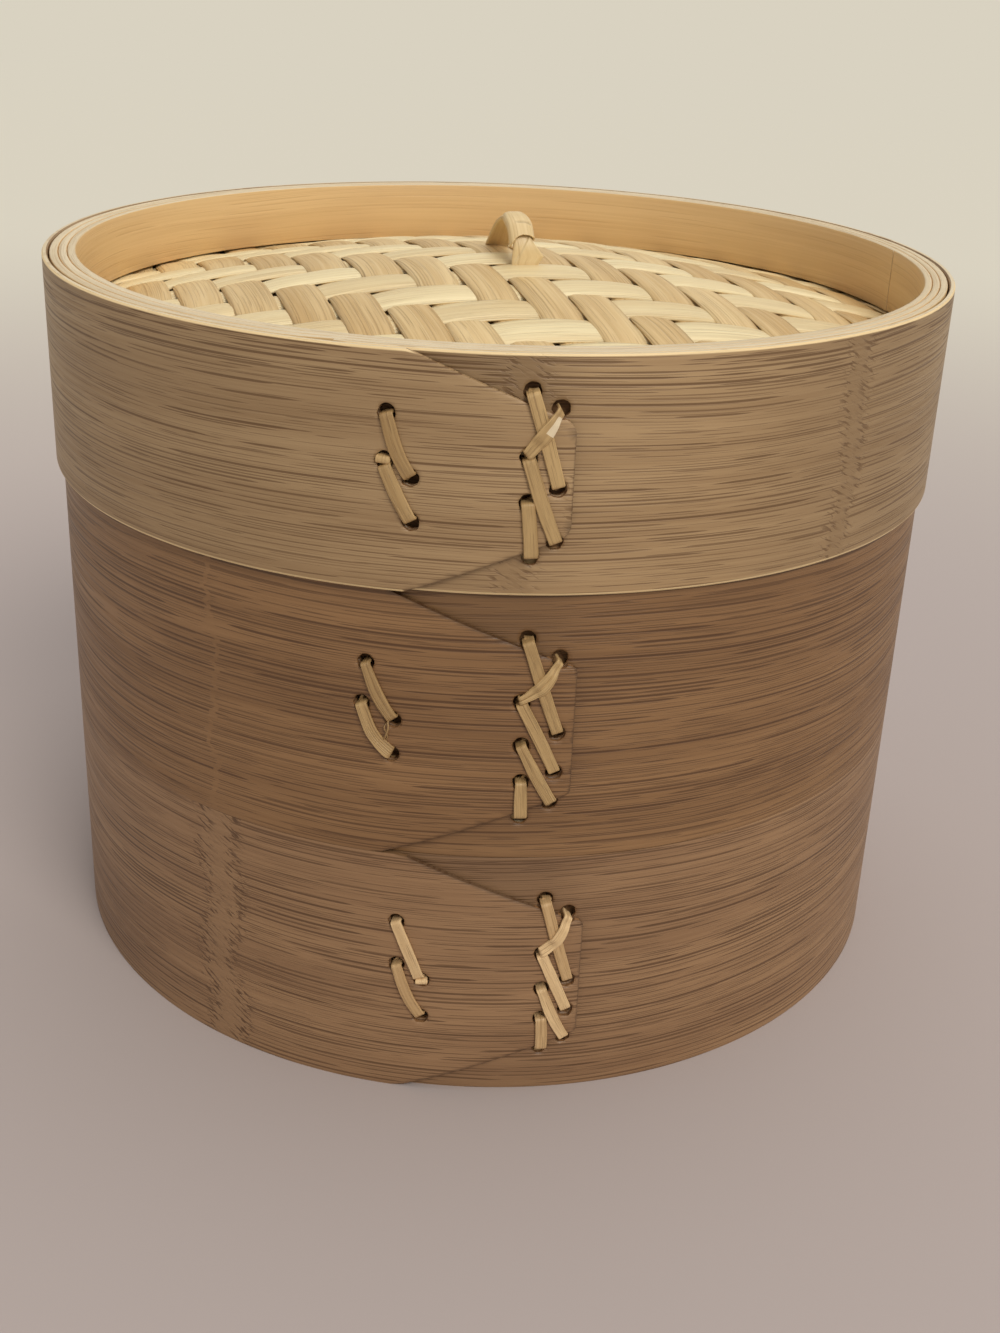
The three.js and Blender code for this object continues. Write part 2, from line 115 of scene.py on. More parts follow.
class Value:
    """What one output of a node gives. Arithmetic with it adds math nodes to its tree."""

    def __init__(self, make, socket):
        self.make, self.socket = make, socket

    def __add__(self, other):
        return self.make.math("ADD", self, other)

    def __sub__(self, other):
        return self.make.math("SUBTRACT", self, other)

    def __rsub__(self, other):
        return self.make.math("SUBTRACT", other, self)

    def __mul__(self, other):
        return self.make.math("MULTIPLY", self, other)

    def __truediv__(self, other):
        return self.make.math("DIVIDE", self, other)


class Maker:
    """Adds nodes to one tree. An input is filled with a value, or wired if it is given another node's output."""

    def __init__(self, tree):
        self.tree = tree

    def add(self, kind, inputs=None, out=0, **options):
        """Adds a node and gives its output out, or a list if out is a tuple of outputs."""
        node = self.tree.nodes.new(kind)
        for name, value in options.items():
            setattr(node, name, value)
        for name, value in (inputs or {}).items():
            for part in value if isinstance(value, list) else [value]:
                if isinstance(part, Value):
                    self.tree.links.new(part.socket, node.inputs[name])
                else:
                    node.inputs[name].default_value = part
        if isinstance(out, tuple):
            return [Value(self, node.outputs[key]) for key in out]
        return None if out is None else Value(self, node.outputs[out])

    def math(self, operation, *values):
        return self.add("ShaderNodeMath", dict(enumerate(values)), operation=operation)

    def point(self, x=0.0, y=0.0, z=0.0):
        return self.add("ShaderNodeCombineXYZ", {0: x, 1: y, 2: z})

    def split(self, vector):
        return self.add("ShaderNodeSeparateXYZ", {0: vector}, out=(0, 1, 2))

    def noise(self, place, **more):
        return self.add("ShaderNodeTexNoise", {"Vector": place, "Scale": 1.0, **more})

    def fade(self, value, low, high, to_low=0.0, to_high=1.0):
        """Maps low..high smoothly to to_low..to_high."""
        inputs = {"Value": value, "From Min": low, "From Max": high, "To Min": to_low, "To Max": to_high}
        return self.add("ShaderNodeMapRange", inputs, interpolation_type="SMOOTHSTEP")

    def mix(self, share, first, second):
        return self.add("ShaderNodeMix", {0: share, 6: first, 7: second}, out=2, data_type="RGBA")

    def mark(self, name):
        """A number that the points of a piece carry."""
        return self.add("ShaderNodeAttribute", out="Fac", attribute_name=name)

    def chain(self, geometry, *steps):
        """Sends a geometry through one node after another. Each step is a node's kind and its other inputs."""
        for kind, inputs in steps:
            geometry = self.add("GeometryNode" + kind, {0: geometry, **inputs})
        return geometry

    def store(self, geometry, name, value, data_type="FLOAT", domain="POINT"):
        return self.add("GeometryNodeStoreNamedAttribute", {"Geometry": geometry, "Name": name, "Value": value},
                        data_type=data_type, domain=domain)

    def results(self, kind, **values):
        """Gives the tree its outputs."""
        for label in values:
            self.tree.interface.new_socket(name=label, in_out="OUTPUT", socket_type="NodeSocket" + kind)
        self.add("NodeGroupOutput", values, out=None)
        return self.tree


def new_group(kind, name, inputs):
    """What adds nodes to a new group, and the group's inputs. inputs gives the first value of each, or its kind."""
    tree = bpy.data.node_groups.new(name, kind)
    for label, value in inputs.items():
        typed = value if isinstance(value, str) else type(value).__name__.capitalize()
        socket = tree.interface.new_socket(name=label, in_out="INPUT", socket_type="NodeSocket" + typed)
        if typed != value:
            socket.default_value = value
    make = Maker(tree)
    return make, dict(zip(inputs, make.add("NodeGroupInput", out=tuple(inputs))))


def emptied(holder):
    """What adds nodes to a material or a world, whose first nodes are taken out."""
    holder.use_nodes = True
    holder.node_tree.nodes.clear()
    return Maker(holder.node_tree)


def srgb(red, green, blue):
    """A colour as a screen shows it, from 0 to 255, turned into the light values that a shader wants."""
    parts = [value / 255 for value in (red, green, blue)]
    return (*[p / 12.92 if p <= 0.04045 else ((p + 0.055) / 1.055) ** 2.4 for p in parts], 1.0)


# %% [markdown]
# ## Bamboo
#
# A strip of bamboo has thin dark fibres that all run one way, a soft change of tone from one bundle to the
# next, and here and there a node, a band across the strip where the fibres stop and short marks take their
# place. Noise alone gives blurred streaks. Here the strip is first divided into rows, each row holds one
# fibre at its own place in it, and noise along the row says where that fibre shows and where it thins out.
# The strips carry their own coordinates in a UV map, in metres: U runs along the fibres and V across them,
# so the grain bends with each strip. Every piece needs this grain, so it is built once, as a node group.

# %% Grain group
NODE_EVERY = 330.0  # millimetres after which the nodes repeat
GRAIN_INPUTS = {"Coords": "Vector", "Line length": 12.0, "Line spacing": 1.2, "Line width": 0.3, "Line share": 0.5,
                "Seed": 0.0, "Node at": 0.0, "Other node": 0.0, "Node half width": 5.0, "Node marks": 1.0}
GRAIN_OUTPUTS = ("Lines", "Streaks", "Clouds", "Node", "Height")


def build_grain():
    make, given = new_group("ShaderNodeTree", "bamboo grain", GRAIN_INPUTS)
    millimetres = make.add("ShaderNodeVectorMath", {0: given["Coords"], "Scale": 1000.0}, operation="SCALE")
    along, across, _ = make.split(millimetres)
    seed = given["Seed"]

    def noise(x_size, y_size, shift, detail=0.0):
        return make.noise(make.point(along / x_size, sway / y_size, seed + shift), Detail=detail)

    def rows(size, shift):
        """Fibres in rows, size times the given spacing, length and width."""
        spacing = given["Line spacing"] * size
        place = sway / spacing
        row = make.math("FLOOR", place)
        where, phase, weight = make.split(make.add(
            "ShaderNodeTexWhiteNoise", {"W": row + (seed + shift)}, out="Color", noise_dimensions="1D"))
        spot = make.point(phase * 91.0 + along / (given["Line length"] * size), row * 3.7, shift)
        bundle = (noise(28.0, 5.0, shift + 2.3) - 0.5) * 0.3
        level = given["Line share"] * -0.3 + 0.62 - bundle
        shown = make.fade(make.noise(spot, Detail=1.0), level, level + 0.14)
        weight = weight * 0.7 + 0.3
        offset = place - row - (where * 0.4 + 0.3)
        reach = (shown * weight * (given["Line width"] * (1.4 * size)) + 0.002) / spacing
        line = make.fade(make.math("ABSOLUTE", offset), reach * 0.4, reach, 1.0, 0.0)
        return line * (weight * make.fade(shown, 0.0, 0.35))

    # The rows sway a little to and fro along the strip.
    sway = across
    sway = noise(60.0, 26.0, 3.1) * 2.4 + across

    # Nodes: bands across the strip with a ragged, meandering edge, at two places that repeat.
    ragged = (noise(9.0, 1.8, 5.7, 2.0) - 0.5) * 6.0
    meander = (noise(300.0, 15.0, 7.9) - 0.5) * 7.0

    def from_node(place):
        past = along - given[place] + (ragged + meander)
        return make.math("ABSOLUTE", make.math("WRAP", past, NODE_EVERY / 2, -NODE_EVERY / 2))

    past = make.math("MINIMUM", from_node("Node at"), from_node("Other node")) / given["Node half width"]
    node = make.fade(past, 0.65, 1.0, 1.0, 0.0)
    lines = make.math("MAXIMUM", rows(1.0, 11.3), rows(0.53, 31.9) * 0.8) * (node * -0.85 + 1.0)

    # Short crooked marks, thickest along the two edges of a node.
    specks = make.noise(make.point(along / 3.2, (along * 0.45 + sway) / 0.7, seed))
    marks = make.fade(specks, 0.52, 0.6) * make.fade(past, 0.9, 1.6, 1.0, 0.0)
    marks = marks * make.fade(past, 0.1, 0.7, 0.2, 1.0) * given["Node marks"]
    lines = make.math("MAXIMUM", lines, marks)

    streaks = noise(60.0, 0.7, 23.3, 2.0)
    clouds = noise(95.0, 9.0, 29.1, 2.0)
    height = marks * -1.2 + (lines * -1.0 + streaks * 0.8)
    return make.results("Float", **dict(zip(GRAIN_OUTPUTS, (lines, streaks, clouds, node, height))))


GRAIN = build_grain()
print("grain group:", len(GRAIN.nodes), "nodes")

# %% [markdown]
# ## Finishes
#
# Each finish places the grain group with its own values, then mixes three colours with it: a light and a
# dark one for the slow changes, and a darker one for the fibres. The walls are split bamboo with a satin
# face and clear dark fibres. The hoops and slats are planed, so they are smoother and warmer. Cut edges
# show the pale inside of the strip, and the punched holes, with what shows through them, are painted dark
# as shade. Two attributes of a piece can change its finish: one lightens edges pale with wear and paints
# highlights where light catches an edge or a facet, and the other paints shade where less light falls.

# %% Materials
NO_NODES = (1e4, 1e4, 0.01, 0.0)


def bamboo(name, light, dark, fibre, finish, lines, nodes=NO_NODES, tone=0.0, streak=0.4, edge=None, node=None):
    """A bamboo finish. finish is the depth of the fibres, the roughness and the bump, lines the length, spacing,
    width, share and seed of the fibres, and nodes the places, half width and marks of the nodes. tone is how
    much a piece's own tone attribute lightens or darkens each strip."""
    light, dark, fibre = (srgb(*colour) for colour in (light, dark, fibre))
    fibre_depth, roughness, bump = finish
    material = bpy.data.materials.new(name)
    make = emptied(material)
    values = dict(zip(GRAIN_INPUTS, (make.add("ShaderNodeUVMap", uv_map="UVMap"), *lines, *nodes)))
    lines, streaks, clouds, node_band, height = make.add("ShaderNodeGroup", values, GRAIN_OUTPUTS, node_tree=GRAIN)
    share = make.fade(clouds, 0.32, 0.68) * (1 - streak) + make.fade(streaks, 0.3, 0.7) * streak
    if tone:
        share = share + (make.mark("tone") - 0.5) * tone
        share = make.math("MINIMUM", make.math("MAXIMUM", share, -0.3), 1.3)
    base = make.mix(share, dark, light)
    if node:
        base = make.mix(node_band * 0.6, base, srgb(*node))
    # Painted shade: the shade mark darkens the colour towards a shadow colour.
    if edge:
        shadow = (*[0.45 * part for part in dark[:3]], 1.0)
        base = make.mix(make.mark("shade") * 0.38, base, shadow)
    base = make.mix(lines * fibre_depth, base, fibre)
    # The edge colour paints edges pale with wear, and painted highlights where light catches an edge or a facet.
    if edge:
        worn = make.mark("worn") + streaks * 0.12
        base = make.mix(make.fade(worn, 0.84, 0.99), base, srgb(*edge))
    shine = make.fade(streaks, 0.2, 0.8, roughness + 0.08, roughness - 0.06)
    normal = make.add("ShaderNodeBump", {"Height": height, "Strength": bump, "Distance": 0.00025})
    shader = make.add("ShaderNodeBsdfPrincipled", {"Base Color": base, "Roughness": shine, "Normal": normal})
    make.add("ShaderNodeOutputMaterial", {"Surface": shader}, out=None)
    return material


# Each row: name, light, dark and fibre colours, finish, lines, and what differs from most finishes.
wood = {name: bamboo(name, *values, **more) for name, *values, more in (
    ("lid_wall", (188, 155, 113), (163, 130, 91), (92, 60, 28), (0.8, 0.46, 0.35), (25.0, 1.05, 0.24, 0.66, 1.0),
     dict(edge=(238, 208, 156), node=(158, 126, 88), nodes=(5.3, 78.0, 3.6, 0.8))),
    ("upper_wall", (154, 115, 75), (128, 92, 57), (74, 44, 20), (0.82, 0.46, 0.35), (24.0, 0.95, 0.25, 0.74, 4.0),
     dict(edge=(166, 128, 90), nodes=(579.4, 579.4, 0.8, 0.0))),
    ("lower_wall", (163, 126, 89), (138, 103, 71), (82, 53, 28), (0.82, 0.46, 0.35), (24.0, 0.95, 0.25, 0.7, 9.0),
     dict(edge=(174, 136, 98), node=(156, 121, 86), nodes=(579.4, 579.4, 5.0, 1.0))),
    ("cut_edge", (226, 208, 175), (207, 186, 150), (168, 134, 92), (0.5, 0.6, 0.3), (12.0, 0.7, 0.2, 0.4, 12.0), {}),
    # Painted shade: the tiers' cut edges are darkened so that the seam between two tiers reads as a thin dark line.
    ("tier_edge", (138, 104, 70), (112, 82, 52), (80, 54, 30), (0.5, 0.6, 0.3), (12.0, 0.7, 0.2, 0.4, 12.5), {}),
    # Painted shade: the holes' rims, and the hoops' pockets seen through them, are darkened as if deep in shade.
    ("pierced", (166, 122, 78), (134, 94, 56), (80, 52, 28), (0.6, 0.7, 0.3), (5.0, 0.5, 0.2, 0.5, 13.0), {}),
    ("planed", (228, 193, 138), (213, 176, 121), (190, 148, 96), (0.35, 0.42, 0.2),
     (44.0, 1.1, 0.22, 0.35, 15.0), {}),
    ("slat_wood", (222, 188, 134), (200, 162, 110), (152, 112, 68), (0.6, 0.5, 0.35), (36.0, 1.0, 0.25, 0.5, 18.0),
     dict(tone=0.5, node=(190, 150, 100), nodes=(60.0, 60.0, 4.0, 1.0))),
    ("cream_strip", (242, 223, 175), (224, 198, 147), (190, 156, 104), (0.42, 0.38, 0.6),
     (30.0, 0.8, 0.18, 0.5, 21.0), dict(tone=0.6)),
    ("tan_strip", (226, 196, 142), (198, 162, 106), (160, 122, 72), (0.42, 0.44, 0.6),
     (30.0, 0.8, 0.18, 0.5, 24.0), dict(tone=0.8, streak=0.35)),
    ("lining_strip", (208, 176, 126), (180, 146, 98), (142, 106, 64), (0.5, 0.5, 0.4),
     (40.0, 1.0, 0.2, 0.5, 27.0), dict(tone=0.6, streak=0.6)),
    ("lace_split", (200, 166, 114), (160, 126, 80), (116, 82, 46), (0.45, 0.4, 0.5),
     (9.0, 0.42, 0.11, 0.5, 30.0), dict(tone=0.8, streak=0.35, edge=(234, 213, 178))),
    ("bright_lace", (236, 201, 150), (192, 155, 107), (142, 106, 66), (0.4, 0.4, 0.5),
     (9.0, 0.42, 0.11, 0.5, 31.0), dict(tone=0.8, streak=0.35)),
    # The handle's edge colour is its own light colour, so that only its painted shade shows.
    ("handle_split", (234, 209, 158), (210, 179, 126), (170, 134, 86), (0.22, 0.42, 0.4),
     (12.0, 0.6, 0.14, 0.4, 33.0), dict(streak=0.5, edge=(234, 209, 158))))}
print("finishes:", len(wood))

# %% [markdown]
# ## Sizes
#
# The visible pieces stand where the solids stand, so the sizes that the solids were made with are repeated
# here, in millimetres. Angles are counted from the front, where the laces are, towards the right.

# %% Sizes
LID_RADIUS = 102.9  # over the lap
TIER_RADIUS = LID_RADIUS - 1.5
LID_HEIGHT, TIER_HEIGHT = 45.4, 56.7
FIT = 0.3  # room between pieces
STRIP = 1.2  # thickness of a wall's strip
LAP_GAP = 0.2  # between the strip's two layers
LAP_START = 30.0  # arc from the strip's start to the front
CLIMB_ARC, CLIMB_STOP = 190.0, math.radians(5)  # how long the strip climbs, and how far before its own start
TAPER_SLOPE = 0.4
TONGUE_CORNER = 2.0
NEST = 7.5  # how far the pieces reach into each other
TIER_HOOP, LID_HOOP = 3.2, 5.0  # thickness of the hoops
FLOOR_RING_HEIGHT = 7.9
SLAT_THICKNESS, BATTEN_THICKNESS = 3.0, 3.5
RECESS = 14.9  # from the lid's rim down to the dome's edge
DOME_RISE, DOME_POWER = 13.5, 1.6
DOME_THICKNESS, LINING_THICKNESS = 1.3, 0.8

UPPER_BASE = TIER_HEIGHT + FIT
LID_BASE = 2 * UPPER_BASE
TIER_BORE = TIER_RADIUS - 2 * STRIP - LAP_GAP - FIT - TIER_HOOP
LID_BORE = LID_RADIUS - 2 * STRIP - LAP_GAP - FIT - LID_HOOP
DOME_EDGE = LID_BASE + LID_HEIGHT - RECESS
print("bore of a tier", round(2 * TIER_BORE, 1), "mm, of the lid", round(2 * LID_BORE, 1), "mm")


def on_wall(radius, angle, z):
    return Vector((radius * math.sin(angle), -radius * math.cos(angle), z)) * MM


def smooth(share):
    share = min(1.0, max(0.0, share))
    return share * share * (3 - 2 * share)


def mark_points(mesh, **marks):
    """Gives each point of a mesh numbers that its finish reads."""
    for label, values in marks.items():
        mesh.attributes.new(label, "FLOAT", "POINT").data.foreach_set("value", np.array(values, np.float32))


def make_piece(name, points, faces, materials, uvs, face_materials=None, sharp=35, **marks):
    """A mesh object from points in metres, faces, and one UV pair for each corner of each face."""
    mesh = bpy.data.meshes.new(name)
    mesh.from_pydata([tuple(p) for p in points], [], faces)
    mesh.uv_layers.new(name="UVMap").data.foreach_set("uv", np.array(uvs, np.float32).ravel())
    for material in materials:
        mesh.materials.append(material)
    if face_materials is not None:
        mesh.polygons.foreach_set("material_index", np.array(face_materials, np.int32))
    mesh.polygons.foreach_set("use_smooth", [True] * len(mesh.polygons))
    mesh.set_sharp_from_angle(angle=math.radians(sharp))
    mark_points(mesh, **marks)
    mesh.update()
    return add_object(name, mesh)


def dress(piece, body, slot, *nodes):
    """Ties a finished piece to the solids: it moves with its body, and the solids it stands for are hidden. slot is
    not used.
    """
    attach(piece, body)
    if nodes:
        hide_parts(*nodes)


# %% [markdown]
# ## The walls
#
# A wall is one strip that starts under the lap at the front, goes once round, climbs onto its own start and
# ends in a tongue with two slanted edges and rounded corners. Holes for the laces go through both layers.
# The strip could be a bent box with holes cut by booleans, but a flat drawing is simpler: the outline and
# the holes are drawn flat, filled with triangles, and each point is then wrapped round the steamer. Points
# near an edge sink a little, which rounds every edge and the rim of every hole.

# %% The lap's drawing
# end is the arc from the front to the tongue's end, rise the depth of its slanted edges. Each hole is given as
# its arc back from the tongue's end and its share of the wall's height. The last table is painted shade: how
# much the bamboo is darkened at angles from the front, in degrees, where less light falls on it.
WALLS = {
    "lower": SimpleNamespace(
        body="lower_tier", radius=TIER_RADIUS, height=TIER_HEIGHT, base=0.0, end=22.0, rise=15.0, holes=dict(
            L1=(8, 0.83), L2=(8.3, 0.614), L3=(8, 0.462), L4=(7.8, 0.332), L5=(7.5, 0.185),
            R1=(3, 0.77), R2=(2.7, 0.494), R3=(2.7, 0.362), R4=(2.7, 0.228),
            S1=(38.5, 0.725), S2=(33, 0.485), S3=(38.3, 0.543), S4=(33.1, 0.326)),
        darker=([-180, -60, -20, 180], [0.15, 0.0, 0.0, 0.1])),
    "upper": SimpleNamespace(
        body="upper_tier", radius=TIER_RADIUS, height=TIER_HEIGHT, base=UPPER_BASE, end=17.5, rise=15.0, holes=dict(
            L1=(9.7, 0.84), L2=(10.5, 0.617), L3=(10.2, 0.455), L4=(9.9, 0.314), L5=(9.7, 0.165),
            R1=(3.3, 0.77), R2=(3.3, 0.499), R3=(3.5, 0.349), R4=(3.8, 0.222),
            S1=(40.7, 0.727), S2=(35.2, 0.524), S3=(41.5, 0.575), S4=(35.5, 0.393)),
        darker=([-180, -60, -20, 180], [0.2, 0.0, 0.15, 0.2])),
    "lid": SimpleNamespace(
        body="lid", radius=LID_RADIUS, height=LID_HEIGHT, base=LID_BASE, end=14.6, rise=12.2, holes=dict(
            L1=(8.1, 0.853), L2=(8.4, 0.593), L3=(8.2, 0.407), L4=(7.2, 0.17),
            R1=(2.8, 0.785), R2=(2.8, 0.467), R3=(2.8, 0.236),
            S1=(34.1, 0.744), S2=(29.6, 0.485), S3=(34.4, 0.551), S4=(29.4, 0.302)),
        darker=([-180, -85, -55, -30, -6, 10, 24, 38, 50, 180],
                [0.6, 0.4, 0.75, 0.8, 0.5, 0.05, 0.15, 0.8, 1.1, 0.6]))}


def hole_spot(wall, name):
    """Arc from the front and height above the wall's lower edge, in millimetres."""
    back, share = wall.holes[name]
    return wall.end - back, share * wall.height


def ripple(rng, waves, size):
    """A small irregular wave along an edge, as a sum of a few sines with random phases."""
    parts = [(rng.uniform(*waves), rng.uniform(0, math.tau), rng.uniform(0.4, 1.0)) for _ in range(5)]
    total = sum(part[2] for part in parts)
    return lambda s: size * sum(a * math.sin(math.tau * s / length + phase) for length, phase, a in parts) / total


def round_wave(rng, size, counts=(2, 3, 5, 8, 13)):
    """A small wave round something, the same after each full turn."""
    parts = [(n, rng.uniform(0, math.tau), rng.uniform(0.4, 1.0)) for n in counts]
    total = sum(part[2] for part in parts)
    return lambda angle: size * sum(a * math.sin(n * angle + phase) for n, phase, a in parts) / total


# %% A wall's strip, drawn flat
HOLE_RADIUS, HOLE_ROUGH, HOLE_CORNERS = 1.7, 0.14, 40
EDGE_ROUND, ROUND_DEPTH = 0.35, 0.28
LAP_ROUND, SEAM_ROUND = 0.4, 0.2  # shares of that depth at the lap, and where a tier stands on a tier
SEAM = 0.02  # what a tier's wall leaves open below the piece that stands on it
EDGE_WAVE = 0.025
BULGE = 0.1
STRAIGHT = 0.02  # an edge set in by less than this isn't slanted
NO_LAP, NO_HOLE = 9.0, 6.0  # distances that count as far away


class Drawing:
    """A wall's strip, drawn flat. s is the arc from the front and z the height, both in millimetres."""

    def __init__(self, tag, seed):
        self.wall, self.is_lid, self.rng = WALLS[tag], tag == "lid", random.Random(seed)
        self.once = math.tau * self.wall.radius
        self.start, self.finish = -LAP_START, self.once + self.wall.end
        self.rounded = TONGUE_CORNER if self.is_lid else 0.4 * TONGUE_CORNER
        self.low_wave, self.high_wave = [ripple(self.rng, (14, 90), EDGE_WAVE) for _ in range(2)]
        self.bulge = round_wave(self.rng, BULGE)
        self.holes = []
        for hole in self.wall.holes:
            arc, z = hole_spot(self.wall, hole)
            rough = round_wave(self.rng, HOLE_ROUGH, (2, 3, 5, 7))
            self.holes += [(arc, z, rough), (arc + self.once, z, rough)]

    def inset(self, s):
        """How far the tongue's slanted edges and rounded corners lie inside the strip's two edges."""
        left = self.finish - s
        into_corner = max(0.0, self.rounded - left)
        corner = self.rounded - math.sqrt(max(0.0, self.rounded**2 - into_corner**2))
        return max(0.0, self.wall.rise - left * TAPER_SLOPE) + corner

    def low(self, s):
        return self.inset(s) + self.low_wave(s) + EDGE_WAVE

    def high(self, s):
        up_to = 0.0 if self.is_lid else FIT - SEAM
        return self.wall.height - self.inset(s) + self.high_wave(s) - EDGE_WAVE + up_to

    def from_long(self, s, z):
        return min(z - self.low(s), self.high(s) - z)

    def from_hole(self, s, z):
        near = [math.hypot(s - arc, z - level) for arc, level, _ in self.holes if abs(s - arc) < NO_HOLE]
        return min(near, default=NO_HOLE) - HOLE_RADIUS

    def from_lap(self, s, z):
        """Distance to the tongue's slanted edges and end, or to the strip's start."""
        slanted = self.from_long(s, z) if self.inset(s) > STRAIGHT else NO_LAP
        return min(slanted, self.finish - s, s - self.start)

    def from_edge(self, s, z):
        return min(self.from_long(s, z), self.finish - s, s - self.start, self.from_hole(s, z))

    def rounding(self, s, z):
        """How far a face is set back near an edge."""
        depth = 1.0 if self.is_lid or self.from_hole(s, z) < EDGE_ROUND else SEAM_ROUND
        if self.from_lap(s, z) < EDGE_ROUND:
            depth = LAP_ROUND
        return depth * ROUND_DEPTH * max(0.0, 1 - max(0.0, self.from_edge(s, z)) / EDGE_ROUND) ** 2


# %% The drawing's triangles
ALONG_STEP, UP_STEP, LOOSE = 2.6, 2.3, 0.2  # the grid between the edges, and how far its points are moved
CORNER_STATIONS = (0.0, 0.35, 0.65, 0.85, 0.96, 1.0)
END_POINTS, START_POINTS = 16, 24
SHAVED, SHAVED_DEPTH = 1.4, 0.12  # how far from its end and how much the tongue is shaved thinner
EDGE_RINGS = (EDGE_ROUND, 2.6 * EDGE_ROUND)
INSIDE_ONLY = 1  # the triangulation's mode that leaves out what lies outside the outline


def middle(spots, corners):
    return [sum(spots[i][axis] for i in corners) / len(corners) for axis in (0, 1)]


def fill(drawing):
    """The points and triangles of a drawing."""
    start, finish, low, high = drawing.start, drawing.finish, drawing.low, drawing.high
    stations = list(np.arange(start, finish - drawing.rounded, ALONG_STEP))
    stations += [finish - drawing.rounded * (1 - share) for share in CORNER_STATIONS]
    end_heights = np.linspace(low(finish), high(finish), END_POINTS)[1:-1]
    start_heights = np.linspace(high(start), low(start), START_POINTS)[1:-1]

    # Once round the outline: along the lower edge, up the tongue's end and back along the upper edge.
    points = [(s, low(s)) for s in stations] + [(finish, z) for z in end_heights]
    points += [(s, high(s)) for s in reversed(stations)] + [(start, z) for z in start_heights]
    edges = [(i, (i + 1) % len(points)) for i in range(len(points))]

    # Inside it: rings round the holes, lines along the edges, and a loose grid between them.
    for arc, z, rough in drawing.holes:
        first = len(points)
        for ring in (0.0, *EDGE_RINGS):
            for i in range(HOLE_CORNERS):
                turn = math.tau * i / HOLE_CORNERS
                reach = HOLE_RADIUS + ring + rough(turn) * (0.3 if ring > EDGE_ROUND else 1)
                points.append((arc + reach * math.cos(turn), z + reach * math.sin(turn)))
        edges += [(first + i, first + (i + 1) % HOLE_CORNERS) for i in range(HOLE_CORNERS)]
    for s in stations[:1 - len(CORNER_STATIONS)]:
        for step in EDGE_RINGS:
            points += [(s, low(s) + step), (s, high(s) - step)]
    for step in (EDGE_ROUND, SHAVED):
        points += [(finish - step, z) for z in end_heights] + [(start + step, z) for z in start_heights]
    for s in np.arange(start + ALONG_STEP, finish - 1, ALONG_STEP):
        for z in np.arange(UP_STEP, drawing.wall.height, UP_STEP):
            if drawing.from_edge(s, z) > 4 * EDGE_ROUND:
                points.append((s + drawing.rng.uniform(-LOOSE, LOOSE), z + drawing.rng.uniform(-LOOSE, LOOSE)))

    flat, _, triangles = geometry.delaunay_2d_cdt([Vector(p) for p in points], edges, [], INSIDE_ONLY, 1e-5)[:3]
    spots = [(v.x, v.y) for v in flat]

    def in_hole(corners):
        s, z = middle(spots, corners)
        for arc, level, rough in drawing.holes:
            if math.hypot(s - arc, z - level) < 1.1 * HOLE_RADIUS:
                offsets = [(spots[i][0] - arc, spots[i][1] - level) for i in corners]
                return all(math.hypot(x, y) < HOLE_RADIUS + rough(math.atan2(y, x)) + 0.01 for x, y in offsets)
        return False

    return spots, [tuple(t) for t in triangles if not in_hole(t)]


# %% The drawing wrapped round the steamer
PALE_LINE, PALE_FADE = 0.2, 1.6  # width of the pale line along the lid's edges, and how far it fades
# Painted highlight on the lid's upper slanted edge, which faces up to the light.
TAPER_HIGHLIGHT = 0.76  # how pale the upper slanted edge of the lid's tongue is
PALE_HOLE, PALE_HOLE_FADE = 0.82, 0.8
# Painted shadow: a dark line along the lap's edges, as under an overhanging edge.
SHADOW_LINE, SHADOW_DEPTH = 0.4, 2.2  # width and depth of the dark line along the lap and the seams
DARKEST = 2.4
BARE, CUT, HOLE = 0, 1, 2  # a wall's finishes: its faces, its edges, its holes


def fading(distance, reach):
    return max(0.0, 1 - max(0.0, distance) / reach)


def wall_looks(drawing, s, z):
    """What the finish reads: the first is 1 on the lid's long edges, pale with wear, and a painted highlight on
    the upper slanted edge of its tongue; the second is 1 on the start that lies under the tongue, painted
    shade by angle where less light falls, and more along the painted shadow lines at the lap's edges."""
    wall, upper_half = drawing.wall, z > drawing.wall.height / 2
    # Pale with wear along the lid's long edges; a painted highlight on its tongue's upper slanted edge.
    pale = 0.0 if not drawing.is_lid else 1.0 if drawing.inset(s) <= STRAIGHT else TAPER_HIGHLIGHT * upper_half
    worn = max(0.0, pale * (1 - max(0.0, drawing.from_long(s, z) - PALE_LINE) / PALE_FADE),
               PALE_HOLE - max(0.0, drawing.from_hole(s, z)) / PALE_HOLE_FADE)
    hidden = 1 - smooth((s - wall.end + 10) / 18)
    hidden *= 0.35 + 0.65 * smooth((z - 0.3 * wall.height) / (0.3 * wall.height))
    # Painted shade by angle from the front, where less light falls on the wall.
    around = math.degrees((s / wall.radius + math.pi) % math.tau - math.pi)
    # Painted shadow along the lap's edges; on the lid's upper half only at the tongue's end, as its upper slanted
    # edge takes a painted highlight.
    from_line = drawing.finish - s if drawing.is_lid and upper_half else drawing.from_lap(s, z)
    line = SHADOW_DEPTH * fading(from_line, SHADOW_LINE)
    return worn, min(DARKEST, hidden + float(np.interp(around, *wall.darker)) + line)


